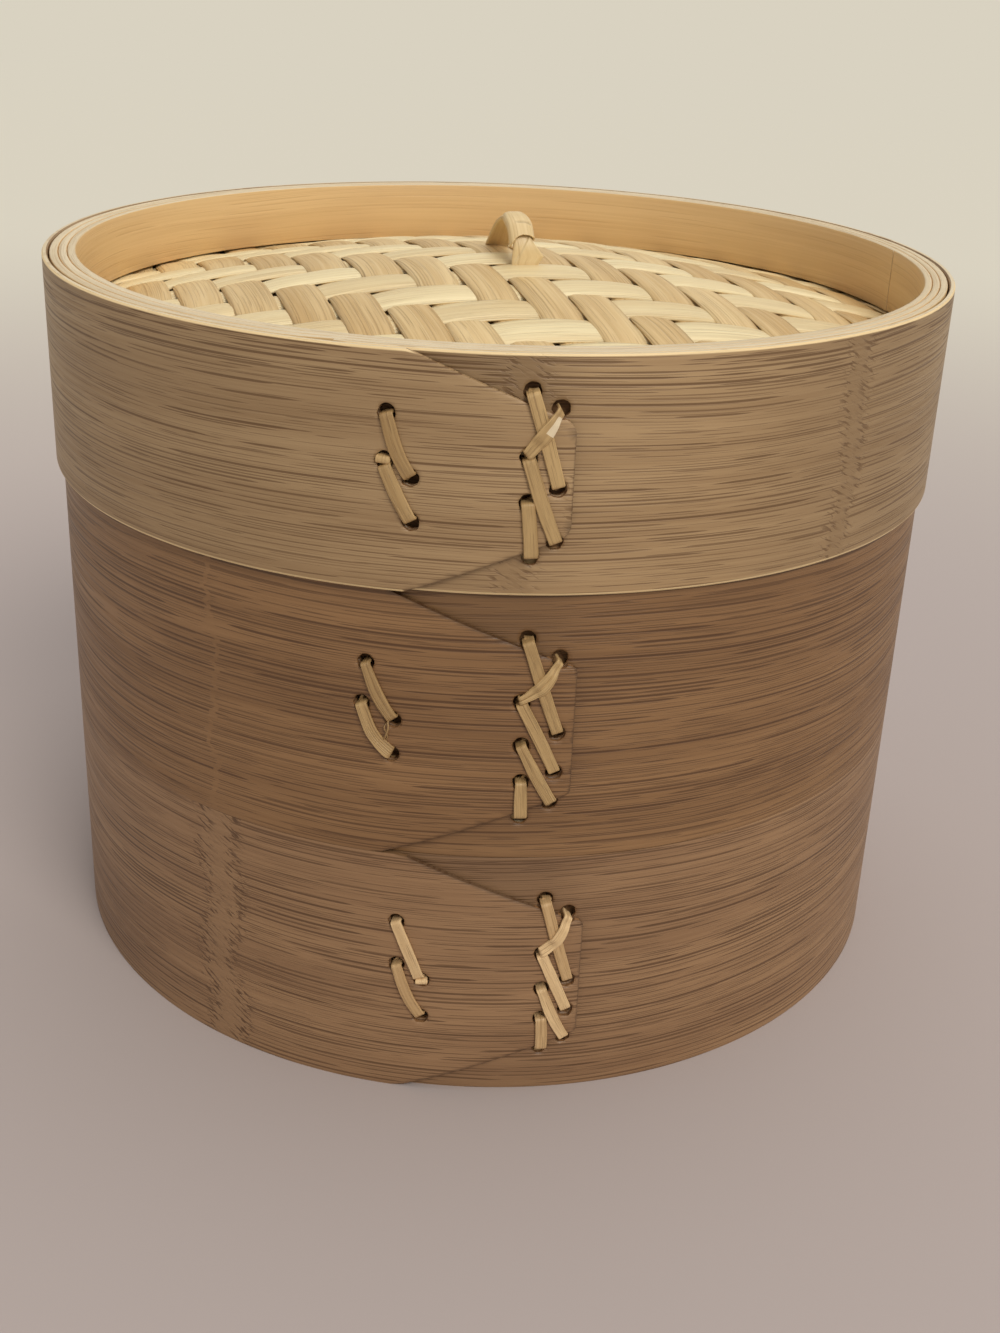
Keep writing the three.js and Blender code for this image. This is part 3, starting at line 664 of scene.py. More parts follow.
def wall_piece(tag, materials, seed):
    drawing = Drawing(tag, seed)
    wall, radius = drawing.wall, drawing.wall.radius
    spots, triangles = fill(drawing)
    under, inside = radius - STRIP - LAP_GAP, radius - 2 * STRIP - LAP_GAP
    climb_end = drawing.start + drawing.once - CLIMB_STOP * radius
    climb_start = climb_end - CLIMB_ARC
    outer, inner = [], []
    for s, z in spots:
        up = (STRIP + LAP_GAP) * smooth((s - climb_start) / (climb_end - climb_start))
        up += drawing.bulge(s / radius) - 0.3 * BULGE
        dip = drawing.rounding(s, z)
        shave = SHAVED_DEPTH * fading(drawing.from_lap(s, z), SHAVED) if s > drawing.once else 0.0
        outer.append(on_wall(under + up - dip - shave, s / radius, wall.base + z))
        inner.append(on_wall(inside + up + dip, s / radius, wall.base + z))

    # Both faces, and a rim along every edge that only one triangle has.
    used = {pair for a, b, c in triangles for pair in ((a, b), (b, c), (c, a))}
    count = len(spots)
    faces = [side for t in triangles for side in (t, tuple(i + count for i in reversed(t)))]
    finishes = [BARE] * len(faces)
    for a, b in used:
        if (b, a) not in used:
            s, z = middle(spots, (a, b))
            faces.append((b, a, a + count, b + count))
            finishes.append(HOLE if drawing.from_hole(s, z) < 0.8 else BARE if drawing.from_lap(s, z) < 0.05 else CUT)
    uvs = [(spots[i % count][0] * MM, spots[i % count][1] * MM) for face in faces for i in face]
    worn, shade = zip(*[wall_looks(drawing, s, z) for s, z in spots])
    print(f"{tag} wall: {len(faces)} faces, {len(wall.holes)} holes")
    return make_piece(f"{tag}_wall_strip", outer + inner, faces, [*materials, wood["pierced"]], uvs, finishes,
                      sharp=38, worn=[*worn, *[0.0] * count], shade=shade * 2)


for seed, (tag, wall) in enumerate(WALLS.items(), 1):
    materials = wood[f"{tag}_wall"], wood["cut_edge" if tag == "lid" else "tier_edge"]
    dress(wall_piece(tag, materials, seed), wall.body, "band", f"{tag}_band")

# %% [markdown]
# ## The hoops
#
# Inside each wall sit hoops: long planed strips wound up tight into a coil. A coil shows on its upper edge
# as thin dark lines, and inside as one small step where the strip starts. A ring with lines painted on
# would lose both when seen close by, so each hoop is a real coil. Both ends are shaved to a wedge, so each
# turn lies close on the one before. Outside, the coil follows the wall as it climbs onto its own start, and
# leaves a shallow pocket for the laces.

# %% Coils
STEPS_PER_TURN = 120
WEDGE, STEP_UP = math.radians(40), math.radians(7)
COIL_GAP = 0.1
THIN = 0.12  # a wedge's share of the strip at its thin end
POCKET, POCKET_MARGIN = 1.15, 1.2  # depth for the laces, and what stays above and below
COIL_EDGE = 0.3  # how far a strip's four edges are rounded


def sweep(name, sections, materials, others=None, sharp=35):
    """A closed skin over cross-sections with the same number of points, flat at both ends. others gives the
    sides that have another material than the first, and the ends have the last one."""
    count, last = len(sections[0]), len(sections) - 1
    points = [p for section in sections for p in section]
    along, around = [0.0], [0.0]
    for before, after in zip(sections, sections[1:]):
        along.append(along[-1] + (sum(after, Vector()) - sum(before, Vector())).length / count)
    middle = sections[len(sections) // 2]
    beside = [middle[(j + 1) % count] for j in range(count)]
    for one, other in zip(middle, beside):
        around.append(around[-1] + (other - one).length)
    # The faces must look outwards whichever way round the cross-section was drawn.
    centre = sum(middle, Vector()) / count
    drawn = sum(((one - centre).cross(other - centre) for one, other in zip(middle, beside)), Vector())
    order = 1 if drawn.dot(sum(sections[len(sections) // 2 + 1], Vector()) / count - centre) > 0 else -1
    faces, uvs, finishes = [], [], []
    for i in range(last):
        for j in range(count):
            k = (j + 1) % count
            faces.append((i * count + j, i * count + k, (i + 1) * count + k, (i + 1) * count + j)[::order])
            uvs += [(along[i], around[j]), (along[i], around[j + 1]),
                    (along[i + 1], around[j + 1]), (along[i + 1], around[j])][::order]
            finishes.append(next((number for number, sides in (others or {}).items() if j in sides), 0))
    for at, way in ((0, -order), (last, order)):
        cap = range(count)[::way]
        faces.append(tuple(at * count + j for j in cap))
        uvs += [(along[at], around[j]) for j in cap]
        finishes.append(len(materials) - 1)
    return make_piece(name, points, faces, materials, uvs, finishes, sharp)


def wall_climb(angle, radius):
    """How far a wall stands off its hoops at an angle from the front, just before it meets its own start."""
    before = -((-angle) % math.tau) * radius
    climb_end = -LAP_START - CLIMB_STOP * radius
    rise = smooth((before - climb_end + CLIMB_ARC) / CLIMB_ARC)
    return (STRIP + LAP_GAP) * rise * (1 - smooth((before - climb_end) / 7.5))


def coil_piece(name, wall, inner, outer, low, high, turns, start_degrees, seed, pocket_top=None):
    """A strip wound up from radius inner to radius outer. Its pocket for the laces ends at pocket_top."""
    rng = random.Random(seed)
    radius = wall.radius
    strip = (outer - inner) / turns
    whole = turns * math.tau + 0.75 * WEDGE
    steps = int(whole / math.tau * STEPS_PER_TURN)
    wave, uneven = ripple(rng, (60, 220), 0.08), round_wave(rng, 0.05)
    arcs = [wall.end - back for back, _ in wall.holes.values()]
    pocket_low, pocket_high = low + POCKET_MARGIN, (pocket_top or high) - POCKET_MARGIN

    def ramp(part):
        return THIN + (1 - THIN) * smooth(part / WEDGE)

    sections = []
    for i in range(steps + 1):
        turned = whole * i / steps
        level, part = divmod(turned, math.tau)
        angle = math.radians(start_degrees) + turned
        near = inner + (strip * (level - 1 + ramp(part)) if level else 0.0)
        near += THIN * strip * smooth((part - math.tau + STEP_UP) / STEP_UP)
        far = near + (strip - COIL_GAP) * (ramp(part) if level == 0 else 1.0)
        far = outer - COIL_GAP if level >= turns else min(far, outer - COIL_GAP)
        arc = (angle % math.tau) * radius
        arc -= math.tau * radius if arc > math.pi * radius else 0.0
        dent = POCKET * smooth((arc - min(arcs) + 5) / 3) * smooth((max(arcs) + 5 - arc) / 3)
        dent = max(0.0, min(dent, far - near - 0.3)) if level >= turns - 1 else 0.0
        bottom, top = low + 0.05, high + min(0.0, wave(turned * inner)) - 0.05
        b = min(COIL_EDGE, (far - near) / 3)
        corners = [(near, bottom + b), (near + 0.3 * b, bottom + 0.3 * b), (near + b, bottom),
                   (far - b, bottom), (far - 0.3 * b, bottom + 0.3 * b), (far, bottom + b),
                   (far, pocket_low), (far - dent, pocket_low + 0.3), (far - dent, pocket_high - 0.3),
                   (far, pocket_high), (far, top - b), (far - 0.3 * b, top - 0.3 * b), (far - b, top),
                   (near + b, top), (near + 0.3 * b, top - 0.3 * b), (near, top - b)]
        climb = wall_climb(angle, radius)
        sections.append([on_wall(r + climb * (r - inner) / (outer - inner) + uneven(angle), angle, z)
                         for r, z in corners])
    print(f"{name}: strip {strip - COIL_GAP:.2f} mm thick, {turns} turns")
    # The pocket's sides, seen only through the holes, are painted dark as shade.
    pocket_sides, edge_sides = (6, 7, 8), (1, 2, 3, 11, 12, 13)
    return sweep(name, sections, [wood["planed"], wood["pierced"], wood["cut_edge"]],
                 {1: pocket_sides, 2: edge_sides}, sharp=60)


slat_low = NEST + FIT + FLOOR_RING_HEIGHT + FIT
hoop_low = slat_low + SLAT_THICKNESS + FIT
ring_low, ring_high = NEST + FIT, NEST + FIT + FLOOR_RING_HEIGHT
lining_low = DOME_EDGE - DOME_THICKNESS - FIT - LINING_THICKNESS
for number, tag in enumerate(("lower", "upper")):
    tier = WALLS[tag]
    top = tier.base + TIER_HEIGHT
    reach = TIER_BORE, TIER_BORE + TIER_HOOP
    hoop = coil_piece(f"{tag}_hoop_coil", tier, *reach, tier.base + hoop_low, top + NEST, 2, 60 + 60 * number,
                      10 + number, top - 2)
    dress(hoop, tier.body, "hoop", f"{tag}_inner_hoop")
    ring = coil_piece(f"{tag}_floor_ring_coil", tier, *reach, tier.base + ring_low, tier.base + ring_high, 2,
                      150 + 40 * number, 20 + number)
    dress(ring, tier.body, "hoop", f"{tag}_floor_ring")
reach, top = (LID_BORE, LID_BORE + LID_HOOP), LID_BASE + LID_HEIGHT
rim = coil_piece("lid_rim_coil", WALLS["lid"], *reach, DOME_EDGE + FIT, top, 3, 100, 30, top - 2)
dress(rim, "lid", "hoop", "lid_rim_hoop")
seat = coil_piece("lid_seat_coil", WALLS["lid"], *reach, LID_BASE + ring_low, lining_low - FIT, 3, 240, 31)
dress(seat, "lid", "hoop", "lid_seat_hoop")

# %% [markdown]
# ## The floors
#
# Each tier has a floor of flat slats across it, with two battens crossing below them. All are cut to the
# round of the wall. This is a row of nearly equal bars, which Geometry Nodes makes well: a line of points,
# one bar on each, and then every bar is stretched until its ends lie on the circle. Each slat gets its own
# node hump, its own tone and its own stretch of grain from a fixed seed.

# %% Geometry Nodes: rows of equal things


def copies_in_row(make, given, shape, count, first, spacing):
    """Copies of a shape in a row, each one's number, the place of its points, and chances that are its own."""
    row = make.add("GeometryNodeMeshLine", {"Count": count, "Start Location": make.point(0.0, first),
                                            "Offset": make.point(0.0, spacing)}, mode="OFFSET")
    row = make.store(row, "number", make.add("GeometryNodeInputIndex"))
    real = make.chain(row, ("InstanceOnPoints", {"Instance": shape}), ("RealizeInstances", {}))
    which = make.add("GeometryNodeInputNamedAttribute", {"Name": "number"}, data_type="FLOAT")

    def chance(low, high, shift):
        inputs = {"Min": low, "Max": high, "ID": which, "Seed": given["Seed"] + shift}
        return make.add("FunctionNodeRandomValue", inputs, out=1, data_type="FLOAT")

    return real, which, make.split(make.add("GeometryNodeInputPosition")), chance


def finish_row(make, given, row):
    """Turns a row about the steamer's axis, smooths it, makes it real and gives it its finish."""
    return make.results("Geometry", Geometry=make.chain(
        row, ("Transform", {"Rotation": make.point(0.0, 0.0, given["Turn"])}), ("SetShadeSmooth", {}),
        ("RealizeInstances", {}), ("SetMaterial", {"Material": given["Material"]})))


def run_nodes(name, tree, **values):
    """Runs a Geometry Nodes tree with named inputs and keeps the result as a plain mesh."""
    piece = add_object(name, bpy.data.meshes.new(name))
    modifier = piece.modifiers.new("make", "NODES")
    modifier.node_group = tree
    for item in tree.interface.items_tree:
        if item.item_type == "SOCKET" and item.in_out == "INPUT" and item.name.replace(" ", "_") in values:
            modifier[item.identifier] = values[item.name.replace(" ", "_")]
    bpy.context.view_layer.update()
    evaluated = piece.evaluated_get(bpy.context.evaluated_depsgraph_get())
    mesh = bpy.data.meshes.new_from_object(evaluated)
    piece.modifiers.remove(modifier)
    piece.data = mesh
    mesh.name = name
    print(f"{name}: {len(mesh.polygons)} faces")
    return piece


# %% Slats and battens, cut to a circle


NODE_LENGTH, CROWN_DEPTH = 0.0045, 0.0005
GRAIN_APART = 0.231  # how far apart two slats are cut from the grain


def build_bars():
    make, given = new_group("GeometryNodeTree", "bars across a circle", {
        "Bars": 10, "Spacing": 0.018, "Width": 0.012, "Thickness": 0.003, "Reach": 0.0978, "Underside": 0.0,
        "Turn": 0.0, "Hump": 0.00035, "Seed": 1, "Material": "Material"})
    spacing, reach, thickness = given["Spacing"], given["Reach"], given["Thickness"]
    first = (given["Bars"] - 1) * -0.5 * spacing
    bar = make.add("GeometryNodeMeshCube", {"Size": (2.0, 1.0, 1.0), "Vertices X": 61, "Vertices Y": 5,
                                            "Vertices Z": 3})
    real, which, (x, y, z), chance = copies_in_row(make, given, bar, given["Bars"], first, spacing)
    centre = which * spacing + first
    own_width = given["Width"] * chance(0.965, 1.0, 0)
    across = (y - centre) * own_width
    depth = centre + across
    along = x * make.math("SQRT", reach * reach - depth * depth)

    # The hump where the slat's node is, and the slight crown of its upper side.
    from_node = (along - chance(-0.07, 0.07, 40)) / NODE_LENGTH
    hump = make.math("EXPONENT", from_node * from_node * -1.0) * given["Hump"]
    crown = across / own_width
    crown = crown * crown * -CROWN_DEPTH
    upper = z + 0.5
    rise = upper * (thickness * chance(0.93, 0.99, 80)) + upper * (hump + crown) - upper * given["Hump"]

    # The grain's coordinates are stored before the points move, because they are worked out from where they were.
    bars = make.store(real, "UVMap", make.point(which * GRAIN_APART + along, across + rise), "FLOAT2", "CORNER")
    bars = make.store(bars, "tone", chance(0.0, 1.0, 120))
    place = make.point(along, depth, given["Underside"] + rise)
    return finish_row(make, given, make.chain(bars, ("SetPosition", {"Position": place})))


def soften(piece, width):
    """Rounds a piece's sharp edges."""
    bevel = piece.modifiers.new("soft edges", "BEVEL")
    bevel.width, bevel.segments = width * MM, 2
    bevel.limit_method, bevel.angle_limit = "ANGLE", math.radians(40)
    bevel.harden_normals = True


BARS = build_bars()
print("bars:", len(BARS.nodes), "nodes")
for number, tag in enumerate(("lower", "upper")):
    low = WALLS[tag].base + slat_low
    slats = run_nodes(f"{tag}_floor_slats", BARS, Thickness=SLAT_THICKNESS * MM, Underside=low * MM,
                      Seed=3 + number, Material=wood["slat_wood"])
    battens = run_nodes(f"{tag}_floor_battens", BARS, Bars=2, Spacing=64 * MM, Width=9 * MM,
                        Thickness=BATTEN_THICKNESS * MM, Underside=(low - FIT - BATTEN_THICKNESS) * MM,
                        Turn=math.pi / 2, Hump=0.2 * MM, Seed=9 + number, Material=wood["slat_wood"])
    for bars, nodes in ((slats, [f"slat_{n:02d}" for n in range(1, 11)]), (battens, ["batten_left", "batten_right"])):
        soften(bars, 0.5)
        dress(bars, WALLS[tag].body, "slat", *[f"{tag}_{node}" for node in nodes])

# %% [markdown]
# ## The woven dome
#
# The lid's middle is woven from two families of thin strips. Wide cream ones run nearly left to right, and
# narrower tan ones cross them. Each goes over two and under two, and the next one starts one strip
# further on, which gives slanting steps. A flat sheet with a weave painted on shows none of the dark slits
# and dips, so every strip is real. Geometry Nodes lays out a family from its pitch, its width and where its
# first strip goes over, bends it over the dome, and gives it its thickness. The same tree makes the coarser
# lining below.

# %% Geometry Nodes: a family of woven strips
DRIFT, LEAN = 0.00018, 0.00045  # how far a strip may lie beside its place, and how far it may slant
SQUARENESS = 1.5  # of the wave that goes over two and under two
UNEVEN, UNEVEN_PER_METRE = 0.0003, 60.0
GRAIN_ALONG, GRAIN_ACROSS = 0.317, 0.053  # how far apart two strips are cut from the grain


def build_strips():
    make, given = new_group("GeometryNodeTree", "woven strips on a dome", {
        "Strips": 16, "Pitch": 0.0126, "Width": 0.012, "First centre": -0.09, "Turn": 0.0, "Reach": 0.0984,
        "Float length": 0.0198, "Float start": 0.0, "Float step": 0.0, "Lift": 0.00035, "Waist": 0.03,
        "Camber": 0.001, "Thickness": 0.00055, "Edge height": 0.144, "Rise": DOME_RISE * MM, "Bore": LID_BORE * MM,
        "Power": DOME_POWER, "Seed": 1, "Material": "Material"})
    reach, thickness = given["Reach"], given["Thickness"]
    sheet = make.add("GeometryNodeMeshGrid", {"Size X": 2.0, "Size Y": 1.0, "Vertices X": 171, "Vertices Y": 7})
    real, which, (x, y, _), chance = copies_in_row(make, given, sheet, given["Strips"], given["First centre"],
                                                   given["Pitch"])
    centre = which * given["Pitch"] + given["First centre"]
    side = y - centre
    drift = chance(-DRIFT, DRIFT, 0)
    lean = x * LEAN * chance(-1.0, 1.0, 20)
    start = which * given["Float step"] + given["Float start"]
    limit = reach * 0.975

    def reach_at(place):
        """How far a strip runs from the middle line, at a distance across the dome."""
        return make.math("SQRT", reach * reach - place * place)

    # Over two, under two: a rounded square wave along the strip, shifted from strip to strip.
    def weave_wave(along):
        wave = make.math("SINE", (along - start) / given["Float length"] * math.pi)
        return make.math("TANH", wave * SQUARENESS)

    # A strip is narrowest where it dives, which leaves small dark gaps beside its floats.
    held = make.math("MINIMUM", make.math("ABSOLUTE", centre), limit)
    waist = weave_wave(x * reach_at(held)) * given["Waist"] + (1.0 - given["Waist"])
    wide = given["Width"] * (waist * chance(0.93, 1.0, 40))
    middle = centre + drift + lean
    lower = make.math("MAXIMUM", wide * -0.5 + middle, limit * -1.0)
    upper = make.math("MINIMUM", wide * 0.5 + middle, limit)
    across = (upper - lower) * (side + 0.5)
    place = lower + across
    along = x * reach_at(place)

    # The dome's height, and on it the strip's own weave, its slow unevenness and its camber.
    out = make.math("MINIMUM", make.math("SQRT", along * along + place * place) / given["Bore"], 1.0)
    height = (1.0 - make.math("POWER", out, given["Power"])) * given["Rise"] + given["Edge height"]
    height = weave_wave(along) * given["Lift"] + height
    slow = make.noise(make.point(along * UNEVEN_PER_METRE, which * 7.3, 0.0))
    height = height + (slow - 0.5) * UNEVEN + side * side * (given["Camber"] * -1.0)

    grain_place = make.point(which * GRAIN_ALONG + along, which * GRAIN_ACROSS + across)
    strips = make.store(real, "UVMap", grain_place, "FLOAT2", "CORNER")
    strips = make.store(strips, "tone", chance(0.0, 1.0, 60))
    strips = make.store(strips, "side", side)
    bent = make.chain(strips, ("SetPosition", {"Position": make.point(along, place, height)}))

    # Thickness: the sheet is the underside, its copy pushed up is the top, and its long edges are rounded.
    pushed, top = make.add("GeometryNodeExtrudeMesh", {"Mesh": bent, "Offset Scale": thickness, "Individual": False},
                           ("Mesh", "Top"), mode="FACES")
    own_side = make.add("GeometryNodeInputNamedAttribute", {"Name": "side"}, data_type="FLOAT")
    edge = make.math("GREATER_THAN", make.math("ABSOLUTE", own_side), 0.45)
    dip = make.point(0.0, 0.0, edge * thickness * -0.4)
    rounded = make.chain(pushed, ("SetPosition", {"Selection": top, "Offset": dip}))
    both = [rounded, make.chain(bent, ("FlipFaces", {}))]
    return finish_row(make, given, make.chain(both, ("JoinGeometry", {}), ("MergeByDistance", {"Distance": 0.00001})))


# %% [markdown]
# The two families share one grid, turned 16 degrees from the front. A cream strip goes over two tan ones
# where its wave is up, and the tan strips are up exactly where the cream ones are down.

# %% Dome and lining
WOVEN = build_strips()
print("woven strips:", len(WOVEN.nodes), "nodes")
WEAVE_TURN = math.radians(16)
CREAM_PITCH, TAN_PITCH, LINING_PITCH = 12.6, 9.9, 14.0
STRIP_THICKNESS = 0.5
dome_middle = DOME_EDGE - DOME_THICKNESS / 2 - STRIP_THICKNESS / 2
lining_middle = DOME_EDGE - DOME_THICKNESS - FIT - LINING_THICKNESS / 2 - 0.15


def family(name, slot, nodes, material, lengths, **values):
    """Runs the tree for one family of strips, with its lengths in millimetres."""
    piece = run_nodes(name, WOVEN, Material=wood[material], **values, **{k: v * MM for k, v in lengths.items()})
    dress(piece, "lid", slot, *nodes)


shared = dict(Edge_height=dome_middle, Lift=0.46, Thickness=STRIP_THICKNESS)
family("lid_dome_cream_strips", "weave", ["lid_dome"], "cream_strip",
       dict(shared, Pitch=CREAM_PITCH, Width=12.3, First_centre=-89.8, Float_length=2 * TAN_PITCH, Float_start=54.7,
            Float_step=-TAN_PITCH, Camber=1.6), Strips=16, Turn=WEAVE_TURN, Seed=5, Waist=0.06)
family("lid_dome_tan_strips", "weave", [], "tan_strip",
       dict(shared, Pitch=TAN_PITCH, Width=9.65, First_centre=-99.25, Float_length=2 * CREAM_PITCH,
            Float_start=-121.3, Float_step=CREAM_PITCH, Camber=0.7), Strips=21, Turn=WEAVE_TURN + math.pi / 2,
       Seed=6, Waist=0.045)
shared = dict(Edge_height=lining_middle, Lift=0.2, Thickness=0.3, Pitch=LINING_PITCH, Width=13.7, First_centre=-98,
              Float_length=2 * LINING_PITCH)
family("lid_lining_strips", "lining", ["lid_lining"], "lining_strip",
       dict(shared, Float_start=7, Float_step=-LINING_PITCH), Strips=15, Turn=0.0, Seed=7)
family("lid_lining_cross_strips", "lining", [], "lining_strip",
       dict(shared, Float_start=-7, Float_step=LINING_PITCH), Strips=15, Turn=math.pi / 2, Seed=8)

# %% [markdown]
# ## The laces
#
# A lace is a flat split of bamboo that goes in and out through the holes and pulls the lap tight. What
# shows are its outside runs: each comes straight out of one hole, folds over, lies flat on the wall and
# folds into the next. The upper stitch crosses over the run beside it, a little twisted. Each run is swept
# from a flat cross-section along a path drawn on the wall, with its own height above it. Here and there a
# lace ends in a short folded stub or a loose fibre.

# %% Lace runs
LACE_THICKNESS = 0.55
LACE_LIFT = 0.12 + LACE_THICKNESS / 2
LACE_STEP, FOLD_STEPS = 0.45, 5
# A glint is a painted highlight.
GLINT_SIDE = range(4, 10)  # the points of a cross-section that a glint covers


def lace_section(middle, side, up, width, thickness, groove):
    """A flat cross-section with bevelled edges and, where it is asked for, a groove along its face."""
    shape = [(1.0, -0.35), (1.0, 0.15), (0.9, 0.44), (0.45, 0.47), (0.12, 0.49 - 0.3 * groove), (0.0, 0.49 - groove),
             (-0.12, 0.49 - 0.3 * groove), (-0.5, 0.49), (-0.86, 0.5), (-1.0, 0.12), (-1.0, -0.35), (-0.9, -0.5),
             (0.0, -0.5), (0.9, -0.5)]
    return [middle + side * (a * width / 2) + up * (b * thickness) for a, b in shape]


def directions(line):
    """The direction of a line at each of its points, from the points before and after."""
    return [(after - before).normalized() for before, after in
            zip([line[0], *line[:-1]], [*line[1:], line[-1]])]


def lace_run(radius, base, begin, end, rng, width=2.5, widths=(0.94, 1.0, 0.94), hump=0.0, hump_at=0.5,
             depth=2.2, fold=0.45, twist=(0.0, 0.0, 0.0), bow=0.0, groove=0.0, lift=LACE_LIFT, outside=1):
    """Cross-sections of one run between two spots (arc, height) on a wall. widths and twist are given for its
    begin, its middle and its end, and bow is how far it swings to the side."""
    length = math.hypot(end[0] - begin[0], end[1] - begin[1])
    normal = (-(end[1] - begin[1]) / length, (end[0] - begin[0]) / length)
    leaf = ripple(rng, (2.0, 7.0), 0.05)
    half = [(0.0, -depth), (0.0, 0.35 * (lift - fold) - 0.65 * depth), (0.0, lift - fold)]
    half += [(fold - fold * math.cos(a), lift - fold + fold * math.sin(a))
             for a in (math.pi / 2 * k / FOLD_STEPS for k in range(1, FOLD_STEPS + 1))]
    steps = max(2, int((length - 2 * fold) / LACE_STEP))
    flat = [(x, lift) for x in np.linspace(fold, length - fold, steps)[1:-1]]
    path = half + flat + [(length - x, rise) for x, rise in reversed(half)]

    def between(values, share):
        first, second = (values[0], values[1]) if share < 0.5 else (values[2], values[1])
        return first + (second - first) * smooth(2 * min(share, 1 - share))

    def spot(share):
        sway = bow * math.sin(math.pi * share ** 1.2)
        return [begin[axis] + share * (end[axis] - begin[axis]) + sway * normal[axis] for axis in (0, 1)]

    centres, sides = [], []
    for x, rise in path:
        share = x / length
        arc, z = spot(share)
        ahead, back = spot(min(1.0, share + 0.01)), spot(max(0.0, share - 0.01))
        step = Vector((ahead[0] - back[0], ahead[1] - back[1])).normalized()
        angle = arc / radius
        out = on_wall(outside, angle, 0).normalized()
        run = Vector((step.x * math.cos(angle), step.x * math.sin(angle), step.y))
        rise += hump * smooth((3.2 - abs(share - hump_at) * length) / 1.7) * (rise >= lift - 1e-6)
        centres.append(on_wall(radius + outside * (rise + leaf(x) * 0.5), angle, base + z))
        sides.append(run.cross(out).normalized())
    sections = []
    for (x, _), centre, side, forward in zip(path, centres, sides, directions(centres)):
        up = side.cross(forward).normalized()
        turn = between(twist, x / length)
        side, up = math.cos(turn) * side + math.sin(turn) * up, math.cos(turn) * up - math.sin(turn) * side
        wide = width * between(widths, x / length) + leaf(x + 30)
        sections.append(lace_section(centre, side, up, wide * MM, LACE_THICKNESS * MM, groove))
    return sections


def curve_through(points, steps):
    """A smooth curve through points, with the given number of steps between each two."""
    padded = [2 * points[0] - points[1], *points, 2 * points[-1] - points[-2]]
    line = []
    for a, b, c, d in zip(padded, padded[1:], padded[2:], padded[3:]):
        for i in range(steps):
            t = i / steps
            line.append(0.5 * (2 * b + (c - a) * t + (2 * a - 5 * b + 4 * c - d) * t * t
                               + (3 * b - a - 3 * c + d) * t * t * t))
    return [*line, points[-1]]


def fibre_sections(radius, base, spots, thickness):
    """A loose fibre through spots (arc, height above the wall, height)."""
    line = curve_through([on_wall(radius + out, arc / radius, base + z) for arc, out, z in spots], 5)
    sections = []
    for i, (place, forward) in enumerate(zip(line, directions(line))):
        side = forward.cross(Vector((0, -1, 0))).normalized()
        up = side.cross(forward)
        thin = thickness * MM * (0.6 + 0.4 * math.sin(math.pi * i / (len(line) - 1)))
        sections.append([place + thin * (math.cos(a) * side + math.sin(a) * up)
                         for a in (math.tau * k / 6 for k in range(6))])
    return sections


def join_pieces(name, parts):
    """Several swept parts become one mesh."""
    keep, meshes = parts[0], [part.data for part in parts[1:]]
    with bpy.context.temp_override(active_object=keep, selected_editable_objects=parts, object=keep):
        bpy.ops.object.join()
    keep.name = keep.data.name = name
    for mesh in meshes:
        if mesh.users == 0:
            bpy.data.meshes.remove(mesh)
    return keep


def slide_grain(piece, rng):
    """Moves a part to its own stretch of grain."""
    layer = piece.data.uv_layers[0].data
    places = np.empty(2 * len(layer), np.float32)
    layer.foreach_get("uv", places)
    layer.foreach_set("uv", places + np.tile([rng.uniform(0, 0.3), rng.uniform(0, 0.1)], len(layer)))


def lace_piece(name, wall, finish, width, runs, seed, stubs=(), fibres=()):
    """A lace from its outside runs. Each run names two holes and how it lies."""
    rng = random.Random(seed)
    radius, base = wall.radius, wall.base
    parts = []

    def lay(label, first, second, shift=((0, -0.1), (0, 0.45)), tone=None, glint=(2.0, 2.0), **shape):
        """shift moves the run's two ends from their holes. A glint is a painted highlight: a pale facet on a part of
        its length.
        """
        ends = []
        for hole, (aside, up) in zip((first, second), shift):
            arc, z = hole_spot(wall, hole)
            ends.append((arc + aside, z + up))
        sections = lace_run(radius, base, *ends, rng, **{"width": width, **shape})
        run = sweep(f"{name}_{label}", sections, [finish], sharp=30)
        drawn = rng.uniform(0.15, 0.85)
        # The glint's painted highlight, carried by the same mark as edges pale with wear.
        pale = [float(glint[0] <= i / len(sections) <= glint[1] and j in GLINT_SIDE)
                for i in range(len(sections)) for j in range(len(sections[0]))]
        mark_points(run.data, tone=[drawn if tone is None else tone] * len(pale), worn=pale)
        slide_grain(run, rng)
        parts.append(run)

    for number, (first, second, options) in enumerate(runs):
        lay(number, first, second, **options)
    for hole, shift in stubs:
        lay(f"stub_{hole}", hole, hole, shift=shift, fold=0.38, depth=1.4, widths=(1.0, 1.02, 1.0), tone=1.0)
    for (_, second, _), (first, _, _) in zip(runs, runs[1:]):
        hidden = lace_run(radius - 2 * STRIP - LAP_GAP, base, hole_spot(wall, second), hole_spot(wall, first), rng,
                          width=2.1, depth=1.0, fold=0.4, lift=0.32, outside=-1)
        parts.append(sweep(f"{name}_in_{second}", hidden, [finish], sharp=50))
    for number, (hole, thickness, spots) in enumerate(fibres):
        arc, z = hole_spot(wall, hole)
        places = [(arc + aside, out, z + up) for aside, out, up in spots]
        parts.append(sweep(f"{name}_fibre_{number}", fibre_sections(radius, base, places, thickness),
                           [finish], sharp=80))
    piece = join_pieces(name, parts)
    print(f"{name}: {len(runs)} outside runs, {len(piece.data.polygons)} faces")
    return piece


